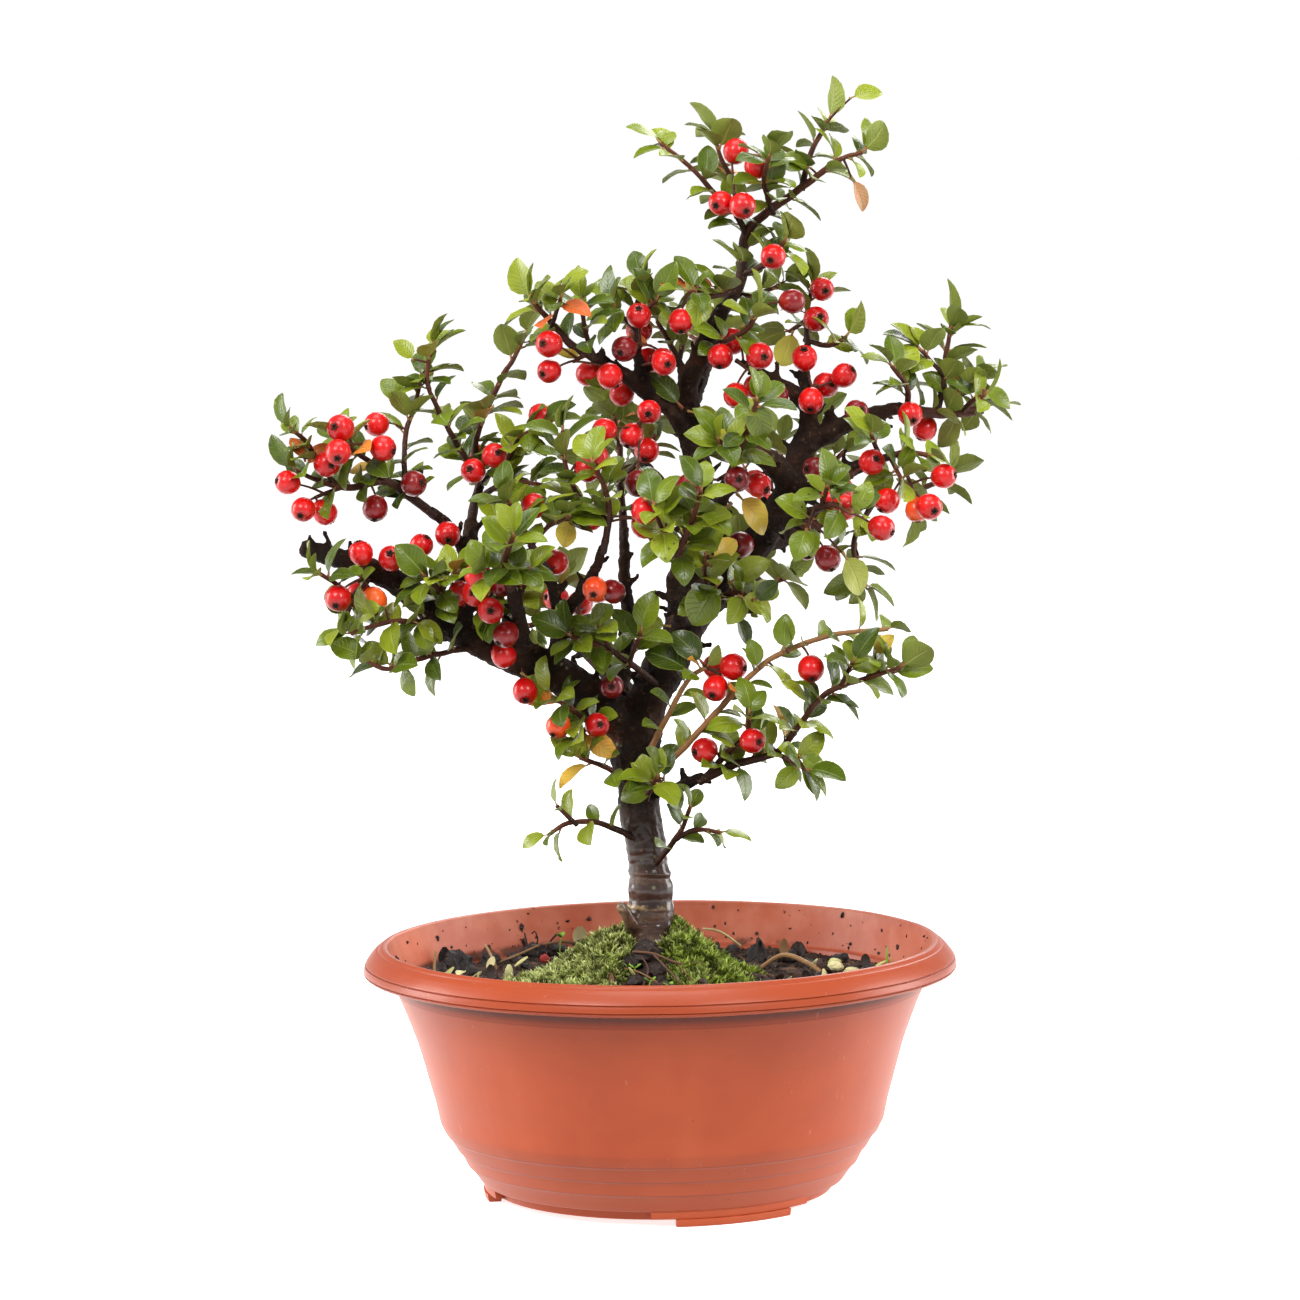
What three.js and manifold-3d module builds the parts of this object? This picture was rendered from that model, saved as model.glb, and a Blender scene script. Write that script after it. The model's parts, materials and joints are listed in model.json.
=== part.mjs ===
// A cotoneaster bonsai in its plastic bowl: millimetres, +Z up, the origin on the
// bowl's axis at the bottom of its feet, and the viewer at -Y.
import * as THREE from 'three';
import { mergeVertices } from 'three/addons/utils/BufferGeometryUtils.js';
import Module from 'manifold-3d';

const wasm = await Module();
wasm.setup();

// Driving dimensions of the bowl
const bowlSegments = 28;
const wallThickness = 2;
const floorTop = 5.2;
const baseRingInner = 54.2;
const footSpread = 20;
const footAzimuths = [-66, 54, 174];
const footInner = 55.6;
const footOuter = 60.4;
const footTop = 4.6;
const drainRadius = 4;
const drainCircle = 38;
const drainCount = 4;

// The outside of the bowl from the base ring up to the crest of the lip, as [radius, height]
const bowlOutside = [
  [54.6, 2], [57.1, 2], [57.4, 5.2], [61.2, 5.4], [68.4, 16.4], [75, 26], [79.6, 45],
  [84.6, 60], [88.8, 70.5], [90.2, 76.5], [98.4, 75.8], [100, 78.4], [96, 84.2], [92.8, 86],
];
// The inside from the crest down to the floor
const bowlInside = [
  [91.6, 85.4], [88.1, 72.2], [86.8, 71.2], [79, 49.5], [72.2, 24], [59.2, floorTop],
];

// Soil and moss
const seatGap = 0.35;
const soilLevel = 70;
const soilRings = [84, 60, 38, 19];
const soilMound = 9.5;
const moundReach = 22;
const mossThickness = 18.5;
const mossShares = [0.24, 0.62, 1.02];
const mossSectors = 12;
const mossFrom = -78;
const mossTo = 248;
const mossEndDrop = 1.6;
const mossFullness = [0.4, 0.78, 1];
const mossDepth = 6;

// The plant: where the trunk stands, and the size of its leaves and berries
const trunkFoot = [-3, 0];
const rootHoleRadius = 11.4;
const rootHoleBottom = 61.6;
const keptLeaf = 2;
const leafLength = 11.6;
const leafLengthSpread = 3.4;
const leafWidthRatio = 0.29;
const bladeStations = [[0.33, 0.92], [0.7, 0.88]];
const keelShare = 0.5;
const bladeThickness = 1.3;
const bladeRise = 0.5;
const leafSpacing = 4.9;
const tipSpots = [0.3, 2.6, 5];
const leafBend = 0.75;
const leafClearance = 1;
const leafTries = 4;
const leavesAtMost = 60;
const bareStem = 6;
const bareTwig = 4.5;
const turnPerLeaf = 137.5;
const turnPerTry = 80;
const turnPerTwig = 50;
const turnSpread = 60;
const tipLean = { least: 10, spread: 8 };
const sideLean = { least: 44, spread: 24 };
const leafLift = 0.22;
const faceTowards = { up: 0.75, tip: 0.35, outward: 0.55, twig: 0.2 };
const clearShares = [0.4, 0.7, 1];
const smallestCrossing = 1e-6;
const berryRadius = 4.5;
const stalkRadius = 0.7;
const stemRadius = 1.1;
const stemShare = 0.75;
const depthStep = 1.5;
const depthSteps = 17;

// The viewer's eye. The points below are seen from it on the upright plane through the
// bowl's axis, as [across, up, depth behind that plane, radius].
const eyeDistance = 1790;
const eyeHeight = 364;

// Trunk and boughs, each as a line of points
const boughs = {
  trunk: [
    [-3, 62, 0, 10.5], [-3, 77, 0, 10], [-3, 84, 0, 9], [-3, 92, 0, 7.8], [-3, 106, 0, 7],
    [-5, 122, 0, 6.9], [-7, 142, 0, 7.5], [-7, 152, 0, 8], [-6, 161, 0, 8.4],
  ],
  rootStub: [
    [-6, 86, -3, 4.2], [-10, 93, -8, 3.8], [-13, 98, -9, 3.2],
  ],
  leader: [
    [-6, 155, 0, 7.8], [-1, 171, 0, 7.6], [10, 193, 1, 7.2], [16, 219, 3, 6], [16, 236, 5, 5.3],
    [12, 264, 5, 4.4], [13, 275, 5, 3.9], [24, 298, 5, 2.8],
  ],
  leftBough: [
    [-5, 153, 0, 8], [-19, 166, -3, 7.2], [-32, 175, -6, 6.6], [-59, 188, -12, 5.8],
    [-69, 194, -14, 5.4], [-90, 210, -18, 4.4], [-117, 220, -22, 3.2],
  ],
  leftRiser: [
    [-64, 192, -13, 3.8], [-64, 205, -10, 3.3], [-62, 217, -6, 3], [-61, 228, 0, 2.6],
  ],
  leftUpper: [
    [-63, 217, -6, 2.5], [-69, 227, -8, 2.2], [-75, 232, -10, 2],
  ],
  middleArm: [
    [-34, 175, -7, 3.4], [-33, 186, -12, 2.9], [-32, 195, -18, 2.6], [-34, 205, -24, 2.1],
    [-36, 212, -28, 1.7],
  ],
  middleFork: [
    [-32, 194, -17, 2.5], [-26, 202, -24, 2.2], [-21, 209, -30, 2], [-17, 219, -36, 1.7],
  ],
  upright: [
    [-14, 163, 4, 3.8], [-11, 179, 12, 3], [-9, 193, 16, 2.6], [-10, 208, 20, 2.3],
    [-10, 225, 22, 1.9],
  ],
  upperLeft: [
    [13, 254, 5, 4], [7, 264, 2, 3.5], [-1, 270, -2, 3.1], [-10, 277, -7, 2.6], [-19, 282, -11, 2.1],
  ],
  upperStub: [
    [-3, 271, -3, 2.4], [-4, 279, -3, 2], [-5, 286, -2, 1.6],
  ],
  yTwig: [
    [12, 264, 5, 2.6], [11, 272, 7, 2.1], [10, 279, 8, 1.7],
  ],
  rightLimb: [
    [10, 193, 1, 6.8], [19, 203, -3, 6.4], [28, 213, -6, 6.2], [37, 223, -9, 5.8],
    [44, 234, -10, 5.4], [48, 244, -9, 5], [51, 254, -8, 4.4],
  ],
  cutStub: [
    [46, 239, -10, 4.6], [40, 246, -17, 4.2], [35, 250, -23, 3.8],
  ],
  rightArm: [
    [50, 252, -8, 4.4], [58, 256, -10, 3.8], [65, 259, -12, 3.1], [73, 262, -10, 2.6],
    [83, 264, -6, 2.3],
  ],
  rightMiddle: [
    [44, 234, -10, 4.2], [56, 238, -18, 3.4], [64, 243, -24, 2.8], [74, 246, -28, 2.1],
  ],
  rightLow: [
    [34, 219, -7, 4.4], [45, 222, 4, 3.6], [58, 228, 14, 2.8], [72, 233, 24, 2.1],
  ],
  upperRight: [
    [51, 253, -8, 3.8], [52, 263, -7, 3.1], [48, 269, -8, 2.6], [41, 274, -10, 2],
    [30, 280, -12, 1.4],
  ],
  rightUpright: [
    [52, 262, -6, 2.8], [51, 274, 2, 2.1], [52, 285, 8, 1.6],
  ],
  lowRight: [
    [-4, 136, -1, 2.8], [5, 137, -11, 2.2], [15, 141, -18, 1.9],
  ],
  backUpper: [
    [16, 214, 3, 4.6], [12, 225, 18, 3.8], [5, 236, 34, 3.1], [-3, 246, 48, 2.4],
  ],
  backRight: [
    [20, 204, -2, 4.8], [29, 214, 14, 4], [38, 227, 32, 3.3], [46, 240, 48, 2.4],
  ],
  backLeft: [
    [-5, 160, 2, 5.2], [-13, 173, 18, 4.2], [-21, 183, 34, 3.4], [-31, 194, 50, 2.5],
  ],
  backLow: [
    [5, 184, 1, 4.8], [12, 190, 20, 3.7], [20, 199, 38, 2.9], [29, 208, 52, 2.1],
  ],
  backTop: [
    [12, 263, 5, 3.2], [16, 273, 24, 2.5], [20, 283, 40, 1.9],
  ],
  frontLow: [
    [10, 193, 0, 3.8], [7, 199, -18, 3], [6, 209, -34, 2.2],
  ],
  frontMiddle: [
    [16, 221, 4, 3.6], [21, 230, -16, 2.8], [25, 241, -34, 2.1],
  ],
  frontLeft: [
    [-45, 183, -9, 3.6], [-45, 193, -28, 2.8], [-48, 205, -44, 2.1],
  ],
  frontRight: [
    [38, 225, -9, 3.4], [46, 227, -30, 2.6], [53, 230, -46, 2],
  ],
};

// Leafy shoots: a stem first, then the side twigs that leave it
const shoots = {
  left_bough_end: [
    [[-94, 211, -19, 1.3], [-101, 203, -27, 1.1], [-104, 194, -34, 0.9]],
    [[-101, 203, -27, 1], [-107, 208, -34, 0.9], [-113, 212, -38, 0.8]],
  ],
  left_bough_under: [
    [[-75, 200, -16, 1.3], [-77, 195, -26, 1.1], [-89, 195, -33, 1], [-102, 191, -38, 0.8]],
  ],
  left_long_twig: [
    [
      [-59, 186, -14, 1.4], [-72, 184, -24, 1.1], [-80, 182, -30, 1], [-90, 179, -36, 0.9],
      [-97, 182, -38, 0.8],
    ],
  ],
  far_left: [
    [
      [-74, 231, -10, 1.9], [-82, 237, -13, 1.8], [-90, 242, -16, 1.6], [-103, 240, -20, 1.3],
      [-113, 243, -24, 1], [-119, 246, -26, 0.8],
    ],
    [[-106, 241, -21, 1.1], [-112, 249, -25, 1], [-116, 256, -28, 0.9], [-121, 260, -30, 0.8]],
    [[-90, 242, -16, 1.2], [-94, 248, -22, 1.1], [-101, 253, -27, 0.9], [-105, 257, -30, 0.8]],
    [
      [-83, 238, -13, 1.2], [-83, 249, -10, 1.1], [-82, 259, -8, 1], [-79, 267, -6, 0.9],
      [-77, 276, -5, 0.8],
    ],
  ],
  left_tall: [
    [
      [-61, 227, 0, 2.2], [-60, 233, 2, 2], [-58, 241, 5, 1.7], [-59, 255, 8, 1.3],
      [-51, 274, 12, 1.1], [-46, 282, 14, 0.9], [-42, 290, 15, 0.8],
    ],
    [
      [-58, 240, 4, 1.4], [-62, 248, -2, 1.2], [-68, 259, -7, 1.1], [-72, 267, -9, 1],
      [-75, 276, -10, 0.9], [-73, 287, -10, 0.8],
    ],
    [[-57, 242, 5, 1.3], [-48, 250, -4, 1.1], [-44, 256, -8, 0.9], [-37, 260, -12, 0.8]],
    [[-59, 235, 3, 1.3], [-49, 241, -6, 1.1], [-37, 240, -14, 0.8]],
  ],
  bough_cluster: [
    [[-69, 197, -16, 1.3], [-72, 205, -25, 1.1], [-77, 210, -31, 0.9]],
    [[-72, 205, -25, 1], [-66, 211, -30, 0.8]],
  ],
  bough_inner: [
    [[-50, 187, -12, 1.3], [-50, 198, -19, 1.1], [-45, 205, -23, 1], [-50, 213, -27, 0.8]],
    [[-50, 198, -19, 1], [-56, 200, -27, 0.8]],
  ],
  middle_arm_end: [
    [[-36, 212, -28, 1.5], [-41, 220, -32, 1.3], [-45, 228, -36, 1], [-49, 236, -38, 0.8]],
    [[-41, 220, -32, 1], [-35, 226, -38, 0.9], [-29, 229, -42, 0.8]],
  ],
  middle_fork_end: [
    [[-17, 218, -36, 1.5], [-15, 229, -40, 1.3], [-16, 238, -43, 1], [-20, 247, -45, 0.8]],
    [[-16, 228, -39, 1.1], [-24, 235, -36, 1], [-29, 245, -32, 0.9], [-30, 258, -29, 0.8]],
  ],
  upright_end: [
    [[-10, 224, 22, 1.7], [-11, 241, 24, 1.4], [-11, 253, 25, 1.1], [-13, 264, 26, 0.8]],
    [[-11, 241, 24, 1.1], [-3, 249, 17, 1], [1, 256, 12, 0.8]],
  ],
  fork_left: [
    [[-17, 163, -5, 1.4], [-22, 160, -12, 1.2], [-28, 164, -17, 1], [-35, 169, -21, 0.8]],
    [[-22, 160, -12, 1], [-26, 155, -18, 0.8]],
  ],
  trunk_left_twig: [
    [[-8, 138, -4, 1.3], [-16, 144, -12, 1.1], [-26, 148, -18, 0.8]],
  ],
  lowest_left_twig: [
    [[-7, 120, -4, 1.4], [-20, 126, -10, 1.1], [-30, 126, -14, 1], [-37, 122, -16, 0.8]],
    [[-28, 126, -14, 1], [-34, 132, -16, 0.8]],
  ],
  leader_left: [
    [[-0, 173, -6, 1.4], [-15, 184, -18, 1.2], [-28, 189, -25, 0.8]],
    [[-15, 184, -18, 1], [-19, 192, -28, 0.8]],
    [[-9, 179, -13, 1], [-5, 190, -22, 0.8]],
  ],
  front_low_end: [
    [[6, 209, -34, 1.8], [9, 218, -46, 1.4], [13, 228, -56, 1.1], [16, 237, -62, 0.8]],
    [[9, 218, -46, 1.1], [3, 224, -54, 0.9], [0, 232, -58, 0.8]],
  ],
  front_middle_end: [
    [[25, 241, -34, 1.8], [29, 251, -45, 1.4], [32, 259, -53, 1.1], [35, 267, -58, 0.8]],
    [[28, 249, -43, 1.1], [22, 254, -52, 0.8]],
  ],
  limb_front: [
    [[17, 199, -9, 1.5], [20, 201, -20, 1.3], [28, 203, -27, 1], [33, 200, -31, 0.8]],
    [[20, 201, -20, 1.1], [17, 208, -30, 0.9], [17, 215, -35, 0.8]],
  ],
  upper_left_end: [
    [[-19, 282, -11, 1.9], [-27, 287, -14, 1.6], [-34, 295, -17, 1.2], [-40, 302, -20, 0.8]],
    [[-19, 282, -11, 1.2], [-22, 291, -16, 1], [-23, 301, -19, 0.8]],
    [[-33, 293, -17, 1], [-30, 302, -24, 0.8]],
  ],
  upper_stub_end: [
    [[-5, 286, -2, 1.4], [-5, 296, -2, 1.1], [-3, 307, -3, 0.8]],
    [[-5, 291, -2, 1], [-12, 299, -8, 0.8]],
    [[-5, 294, -2, 1], [2, 301, -10, 0.8]],
  ],
  y_twig_end: [
    [[10, 279, 8, 1.5], [6, 287, 10, 1.1], [2, 294, 12, 0.8]],
    [[9, 280, 8, 1.1], [11, 289, 15, 1], [13, 297, 18, 0.8]],
  ],
  leader_front: [
    [[17, 284, 0, 1.4], [24, 287, -10, 1.2], [32, 291, -17, 1], [36, 298, -20, 0.8]],
  ],
  crown_top: [
    [
      [24, 297, 5, 2.6], [29, 305, 5, 2.4], [31, 313, 5, 2.2], [32, 322, 5, 2], [38, 329, 4, 1.8],
      [50, 337, 2, 1.5], [62, 346, -1, 1.1], [71, 349, -3, 0.8],
    ],
    [[51, 338, 2, 1.3], [53, 347, 6, 1.1], [56, 353, 8, 1], [60, 360, 10, 0.8]],
    [[32, 322, 5, 1.4], [29, 329, 1, 1.2], [22, 336, -1, 1.1], [14, 345, -3, 0.9], [4, 353, -4, 0.8]],
    [[29, 329, 1, 1.1], [28, 339, 7, 1], [24, 348, 11, 0.9], [22, 355, 13, 0.8]],
    [[41, 330, 4, 1.2], [38, 340, -7, 1], [40, 348, -11, 0.8]],
    [[29, 304, 5, 1.3], [20, 302, -6, 1.1], [13, 304, -11, 0.8]],
    [[30, 309, 5, 1.3], [39, 313, -3, 1.1], [45, 320, -8, 0.8]],
    [[28, 302, 5, 1.3], [37, 303, 12, 1], [44, 306, 16, 0.8]],
  ],
  right_upright_end: [
    [[52, 285, 8, 1.4], [52, 296, 12, 1.1], [54, 305, 13, 0.8]],
    [[52, 287, 9, 1.1], [59, 285, 4, 1], [65, 288, 1, 0.8]],
    [[52, 294, 11, 1], [46, 290, 18, 0.8]],
  ],
  right_arm_end: [
    [[83, 264, -6, 2.2], [96, 262, 0, 2.1], [110, 263, 8, 1.9]],
    [[95, 263, 0, 1.4], [97, 271, 2, 1.2], [98, 281, 4, 1], [100, 292, 6, 0.8]],
    [[103, 262, 4, 1.3], [107, 266, 0, 1.1], [111, 268, -3, 0.8]],
    [[85, 264, -6, 1.3], [85, 271, -13, 1.1], [80, 278, -18, 0.8]],
    [[99, 263, 1, 1.2], [102, 269, 12, 1], [108, 274, 18, 0.8]],
    [[97, 275, 2, 1], [90, 283, -3, 0.8]],
  ],
  right_middle_end: [
    [[73, 246, -28, 1.8], [84, 249, -32, 1.3], [92, 248, -36, 0.8]],
    [[79, 248, -30, 1.1], [83, 240, -38, 0.8]],
    [[76, 247, -29, 1.1], [73, 255, -38, 0.8]],
  ],
  right_low_end: [
    [[72, 232, 24, 1.8], [90, 237, 34, 1.2], [98, 241, 38, 0.8]],
    [[74, 233, 25, 1.2], [68, 223, 20, 1.1], [67, 215, 16, 1], [70, 205, 14, 0.8]],
    [[84, 236, 31, 1], [88, 229, 40, 0.8]],
  ],
  tan_twig: [
    [
      [-4, 141, -6, 1.5], [8, 150, -17, 1.3], [23, 166, -25, 1.2], [38, 180, -31, 1.1],
      [58, 188, -37, 1], [78, 190, -41, 0.8],
    ],
  ],
  lower_right: [
    [
      [15, 140, -18, 1.8], [26, 145, -24, 1.6], [40, 149, -30, 1.4], [47, 157, -34, 1.2],
      [55, 167, -38, 1.2], [62, 171, -40, 1.1], [72, 174, -42, 1], [82, 177, -44, 0.8],
    ],
    [[16, 141, -18, 1.3], [22, 147, -25, 1.2], [30, 155, -31, 1], [31, 162, -35, 0.8]],
    [[40, 149, -30, 1.1], [45, 146, -36, 1], [50, 143, -39, 0.8]],
    [[62, 171, -40, 1], [66, 179, -46, 0.8]],
  ],
  trunk_front: [
    [[-4, 133, -5, 1.4], [-3, 136, -14, 1.2], [-0, 141, -20, 0.8]],
  ],
  thin_twig: [
    [[-2, 151, -8, 1.3], [5, 164, -16, 1.1], [11, 174, -20, 1], [17, 178, -22, 0.8]],
  ],
  low_right_twig: [
    [[-2, 111, -4, 1.4], [3, 116, -10, 1.2], [8, 124, -15, 1], [11, 131, -20, 0.8]],
    [[6, 120, -13, 1.1], [12, 123, -16, 1], [21, 122, -18, 0.8]],
  ],
  back_upper_end: [
    [[-3, 246, 48, 2], [-9, 258, 60, 1.5], [-13, 267, 67, 0.9]],
    [[-6, 253, 55, 1.2], [-0, 262, 66, 0.8]],
    [[-4, 249, 51, 1.3], [-13, 245, 58, 1.1], [-20, 247, 62, 0.8]],
  ],
  back_right_end: [
    [[46, 240, 48, 2], [52, 254, 60, 1.4], [55, 264, 67, 0.9]],
    [[48, 246, 53, 1.2], [41, 255, 66, 0.8]],
    [[48, 244, 52, 1.3], [57, 244, 57, 1.1], [64, 250, 61, 0.8]],
  ],
  back_left_end: [
    [[-31, 194, 50, 2], [-39, 205, 62, 1.4], [-46, 214, 69, 0.9]],
    [[-36, 200, 57, 1.2], [-30, 208, 68, 0.8]],
    [[-34, 197, 54, 1.3], [-42, 193, 59, 1.1], [-50, 196, 62, 0.8]],
  ],
  back_low_end: [
    [[29, 208, 52, 1.8], [36, 218, 62, 1.2], [40, 227, 68, 0.9]],
    [[32, 211, 56, 1.1], [28, 221, 66, 0.8]],
    [[31, 210, 55, 1.2], [38, 206, 60, 1], [45, 208, 63, 0.8]],
  ],
  back_top_end: [
    [[20, 282, 40, 1.7], [22, 292, 50, 1.3], [24, 301, 58, 0.9]],
    [[21, 287, 44, 1.1], [30, 291, 54, 0.8]],
    [[21, 284, 42, 1.1], [13, 289, 52, 0.8]],
  ],
  front_left_end: [
    [[-48, 205, -44, 1.8], [-50, 214, -56, 1.3], [-47, 223, -63, 0.8]],
    [[-49, 209, -49, 1.1], [-42, 212, -58, 0.8]],
    [[-48, 207, -46, 1.1], [-56, 211, -56, 0.8]],
  ],
  front_right_end: [
    [[53, 230, -46, 1.7], [60, 232, -56, 1.2], [66, 229, -62, 0.8]],
    [[56, 231, -50, 1.1], [58, 238, -60, 0.8]],
    [[54, 231, -48, 1.1], [51, 224, -56, 0.8]],
  ],
};

// Berries, and the point of the twig that their stalks come from
const bunches = {
  far_left: { from: [-104, 240, -20], berries: [[-122, 242, -30], [-117, 233, -30], [-110, 232, -26]] },
  far_left_upper: {
    from: [-101, 253, -27],
    berries: [[-104, 260, -34], [-105, 252, -36], [-90, 253, -30]],
  },
  left_bough_end: { from: [-97, 211, -19], berries: [[-106, 203, -38], [-94, 202, -28], [-98, 218, -27]] },
  left_tall: { from: [-59, 239, 4], berries: [[-60, 245, -10], [-53, 250, -9]] },
  bough: {
    from: [-62, 191, -14],
    berries: [[-59, 214, -26], [-60, 204, -34], [-55, 198, -36], [-51, 207, -34], [-51, 183, -22]],
  },
  upper_left: { from: [-22, 283, -12], berries: [[-34, 287, -26], [-34, 278, -22], [-14, 276, -16]] },
  upper_stub: { from: [-4, 285, -2], berries: [[-4, 296, -12], [-9, 285, -14], [4, 281, -6]] },
  middle: {
    from: [1, 268, -2],
    berries: [[-1, 264, -16], [-7, 256, -12], [-5, 240, -24], [-16, 258, -18]],
  },
  top: { from: [29, 330, 1], berries: [[24, 333, -10], [31, 332, -12], [29, 350, 4]] },
  leader: {
    from: [29, 280, -12],
    berries: [[27, 287, -8], [36, 282, -20], [41, 269, -20], [28, 269, -12]],
  },
  right_upper: { from: [52, 266, -6], berries: [[51, 281, -10], [64, 275, -12], [53, 267, -16]] },
  centre_right: { from: [26, 243, -36], berries: [[28, 241, -48], [12, 239, -42]] },
  right_middle: { from: [66, 244, -25], berries: [[73, 246, -38], [60, 234, -38]] },
  right_end: { from: [82, 248, -31], berries: [[78, 233, -38], [88, 230, -36], [97, 241, -42]] },
  thin_twig: { from: [17, 178, -21], berries: [[26, 178, -26], [20, 171, -28]] },
  low_right: { from: [18, 142, -19], berries: [[16, 150, -27], [32, 153, -36]] },
  back_left: { from: [-25, 190, 42], berries: [[-33, 202, 46], [-25, 200, 56], [-19, 204, 47]] },
  back_right: { from: [42, 235, 43], berries: [[40, 246, 42], [34, 240, 52], [38, 232, 36]] },
};

const radians = THREE.MathUtils.degToRad;

// Moves a point of the picture plane along the viewer's line of sight to its depth.
function placed([across, up, depth]) {
  const reach = (eyeDistance + depth) / eyeDistance;
  return new THREE.Vector3(across * reach, depth, eyeHeight + (up - eyeHeight) * reach);
}

// A repeatable number from 0 to 1 for a leaf or berry, from its place in the lists.
function chance(a, b, c, d) {
  const wave = Math.sin(a * 12.9898 + b * 78.233 + c * 37.719 + d * 4.581) * 43758.5453;
  return wave - Math.floor(wave);
}

function solid(positions, triangles) {
  return new wasm.Manifold(new wasm.Mesh({
    numProp: 3,
    vertProperties: Float32Array.from(positions),
    triVerts: Uint32Array.from(triangles),
  }));
}

function solidFromGeometry(geometry) {
  const bare = geometry.clone();
  bare.deleteAttribute('normal');
  bare.deleteAttribute('uv');
  const merged = mergeVertices(bare, 1e-4);
  return solid(merged.attributes.position.array, merged.index.array);
}

function unionOf(solids) {
  return solids.length === 1 ? solids[0] : wasm.Manifold.union(solids);
}

function largestPart(body) {
  const parts = body.decompose();
  return parts.reduce((best, part) => (part.volume() > best.volume() ? part : best));
}

// A closed tapering tube through [point, radius] pairs, with flat ends.
function tube(points, radii, sides) {
  const positions = [];
  const triangles = [];
  const side = new THREE.Vector3();
  points.forEach((point, row) => {
    const ahead = points[Math.min(row + 1, points.length - 1)];
    const behind = points[Math.max(row - 1, 0)];
    const along = ahead.clone().sub(behind).normalize();
    if (row === 0) {
      side.set(0, 1, 0);
      if (Math.abs(along.y) > 0.9) side.set(1, 0, 0);
    }
    side.addScaledVector(along, -side.dot(along)).normalize();
    const across = along.clone().cross(side);
    for (let k = 0; k < sides; k += 1) {
      const turn = (k / sides) * Math.PI * 2;
      const corner = point.clone()
        .addScaledVector(side, Math.cos(turn) * radii[row])
        .addScaledVector(across, Math.sin(turn) * radii[row]);
      positions.push(...corner.toArray());
    }
  });
  const rows = points.length;
  for (let row = 0; row < rows - 1; row += 1) {
    for (let k = 0; k < sides; k += 1) {
      const a = row * sides + k;
      const b = row * sides + ((k + 1) % sides);
      triangles.push(a, b, b + sides, a, b + sides, a + sides);
    }
  }
  const last = (rows - 1) * sides;
  for (let k = 1; k < sides - 1; k += 1) {
    triangles.push(0, k + 1, k);
    triangles.push(last, last + k, last + k + 1);
  }
  return solid(positions, triangles);
}

function sidesFor(radius) {
  if (radius > 6) return 8;
  if (radius > 4.5) return 5;
  return radius > 2 ? 4 : 3;
}

function limb(line, extra = 0) {
  const radii = line.map((entry) => entry[3] + extra);
  return tube(line.map(placed), radii, sidesFor(line[0][3]));
}

// Bowl
function bowl() {
  const profile = [...bowlOutside, ...bowlInside];
  const floorUnder = floorTop - wallThickness;
  profile.push([0, floorTop], [0, floorUnder], [baseRingInner, floorUnder], bowlOutside[0]);
  const outline = profile.map(([radius, height]) => new THREE.Vector2(radius, height));
  const turned = new THREE.LatheGeometry(outline, bowlSegments).rotateX(Math.PI / 2);
  let body = solidFromGeometry(turned);
  body = unionOf([body, ...footAzimuths.map(foot)]);
  for (let k = 0; k < drainCount; k += 1) {
    const hole = new THREE.CylinderGeometry(drainRadius, drainRadius, 12, 6).rotateX(Math.PI / 2);
    const turn = (k / drainCount) * Math.PI * 2;
    hole.translate(Math.cos(turn) * drainCircle, Math.sin(turn) * drainCircle, floorTop);
    body = body.subtract(solidFromGeometry(hole));
  }
  return body;
}

// A foot: a short arc of wall that carries the bowl's edge down to the ground.
function foot(azimuth) {
  const from = radians(azimuth - footSpread);
  const to = radians(azimuth + footSpread);
  const plan = new THREE.Shape();
  plan.absarc(0, 0, footOuter, from, to, false);
  plan.absarc(0, 0, footInner, to, from, true);
  return solidFromGeometry(new THREE.ExtrudeGeometry(plan, {
    depth: footTop, bevelEnabled: false, curveSegments: 3,
  }));
}

// Soil
function soilTop(x, y) {
  const away = (x - trunkFoot[0]) ** 2 + (y - trunkFoot[1]) ** 2;
  const mound = soilMound * Math.exp(-away / (2 * moundReach ** 2));
  const lumps = 1.1 * Math.sin(x * 0.21 + 1) * Math.cos(y * 0.17) + 0.7 * Math.sin(x * 0.09 - y * 0.13);
  return soilLevel + mound + lumps;
}

// A closed body of rings round the bowl's axis, each ring a function of its angle.
function ringed(rings, sectors) {
  const positions = [];
  const triangles = [];
  rings.forEach((ring) => {
    for (let k = 0; k < sectors; k += 1) positions.push(...ring((k / sectors) * Math.PI * 2));
  });
  for (let row = 0; row < rings.length - 1; row += 1) {
    for (let k = 0; k < sectors; k += 1) {
      const a = row * sectors + k;
      const b = row * sectors + ((k + 1) % sectors);
      triangles.push(a, b, b + sectors, a, b + sectors, a + sectors);
    }
  }
  const lastRing = (rings.length - 1) * sectors;
  const top = positions.length / 3;
  positions.push(...middle(rings.at(-1), sectors));
  positions.push(...middle(rings[0], sectors));
  for (let k = 0; k < sectors; k += 1) {
    const next = (k + 1) % sectors;
    triangles.push(lastRing + k, lastRing + next, top);
    triangles.push(next, k, top + 1);
  }
  return solid(positions, triangles);
}

function middle(ring, sectors) {
  const sum = new THREE.Vector3();
  for (let k = 0; k < sectors; k += 1) sum.add(new THREE.Vector3(...ring((k / sectors) * Math.PI * 2)));
  return sum.divideScalar(sectors).toArray();
}

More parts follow.
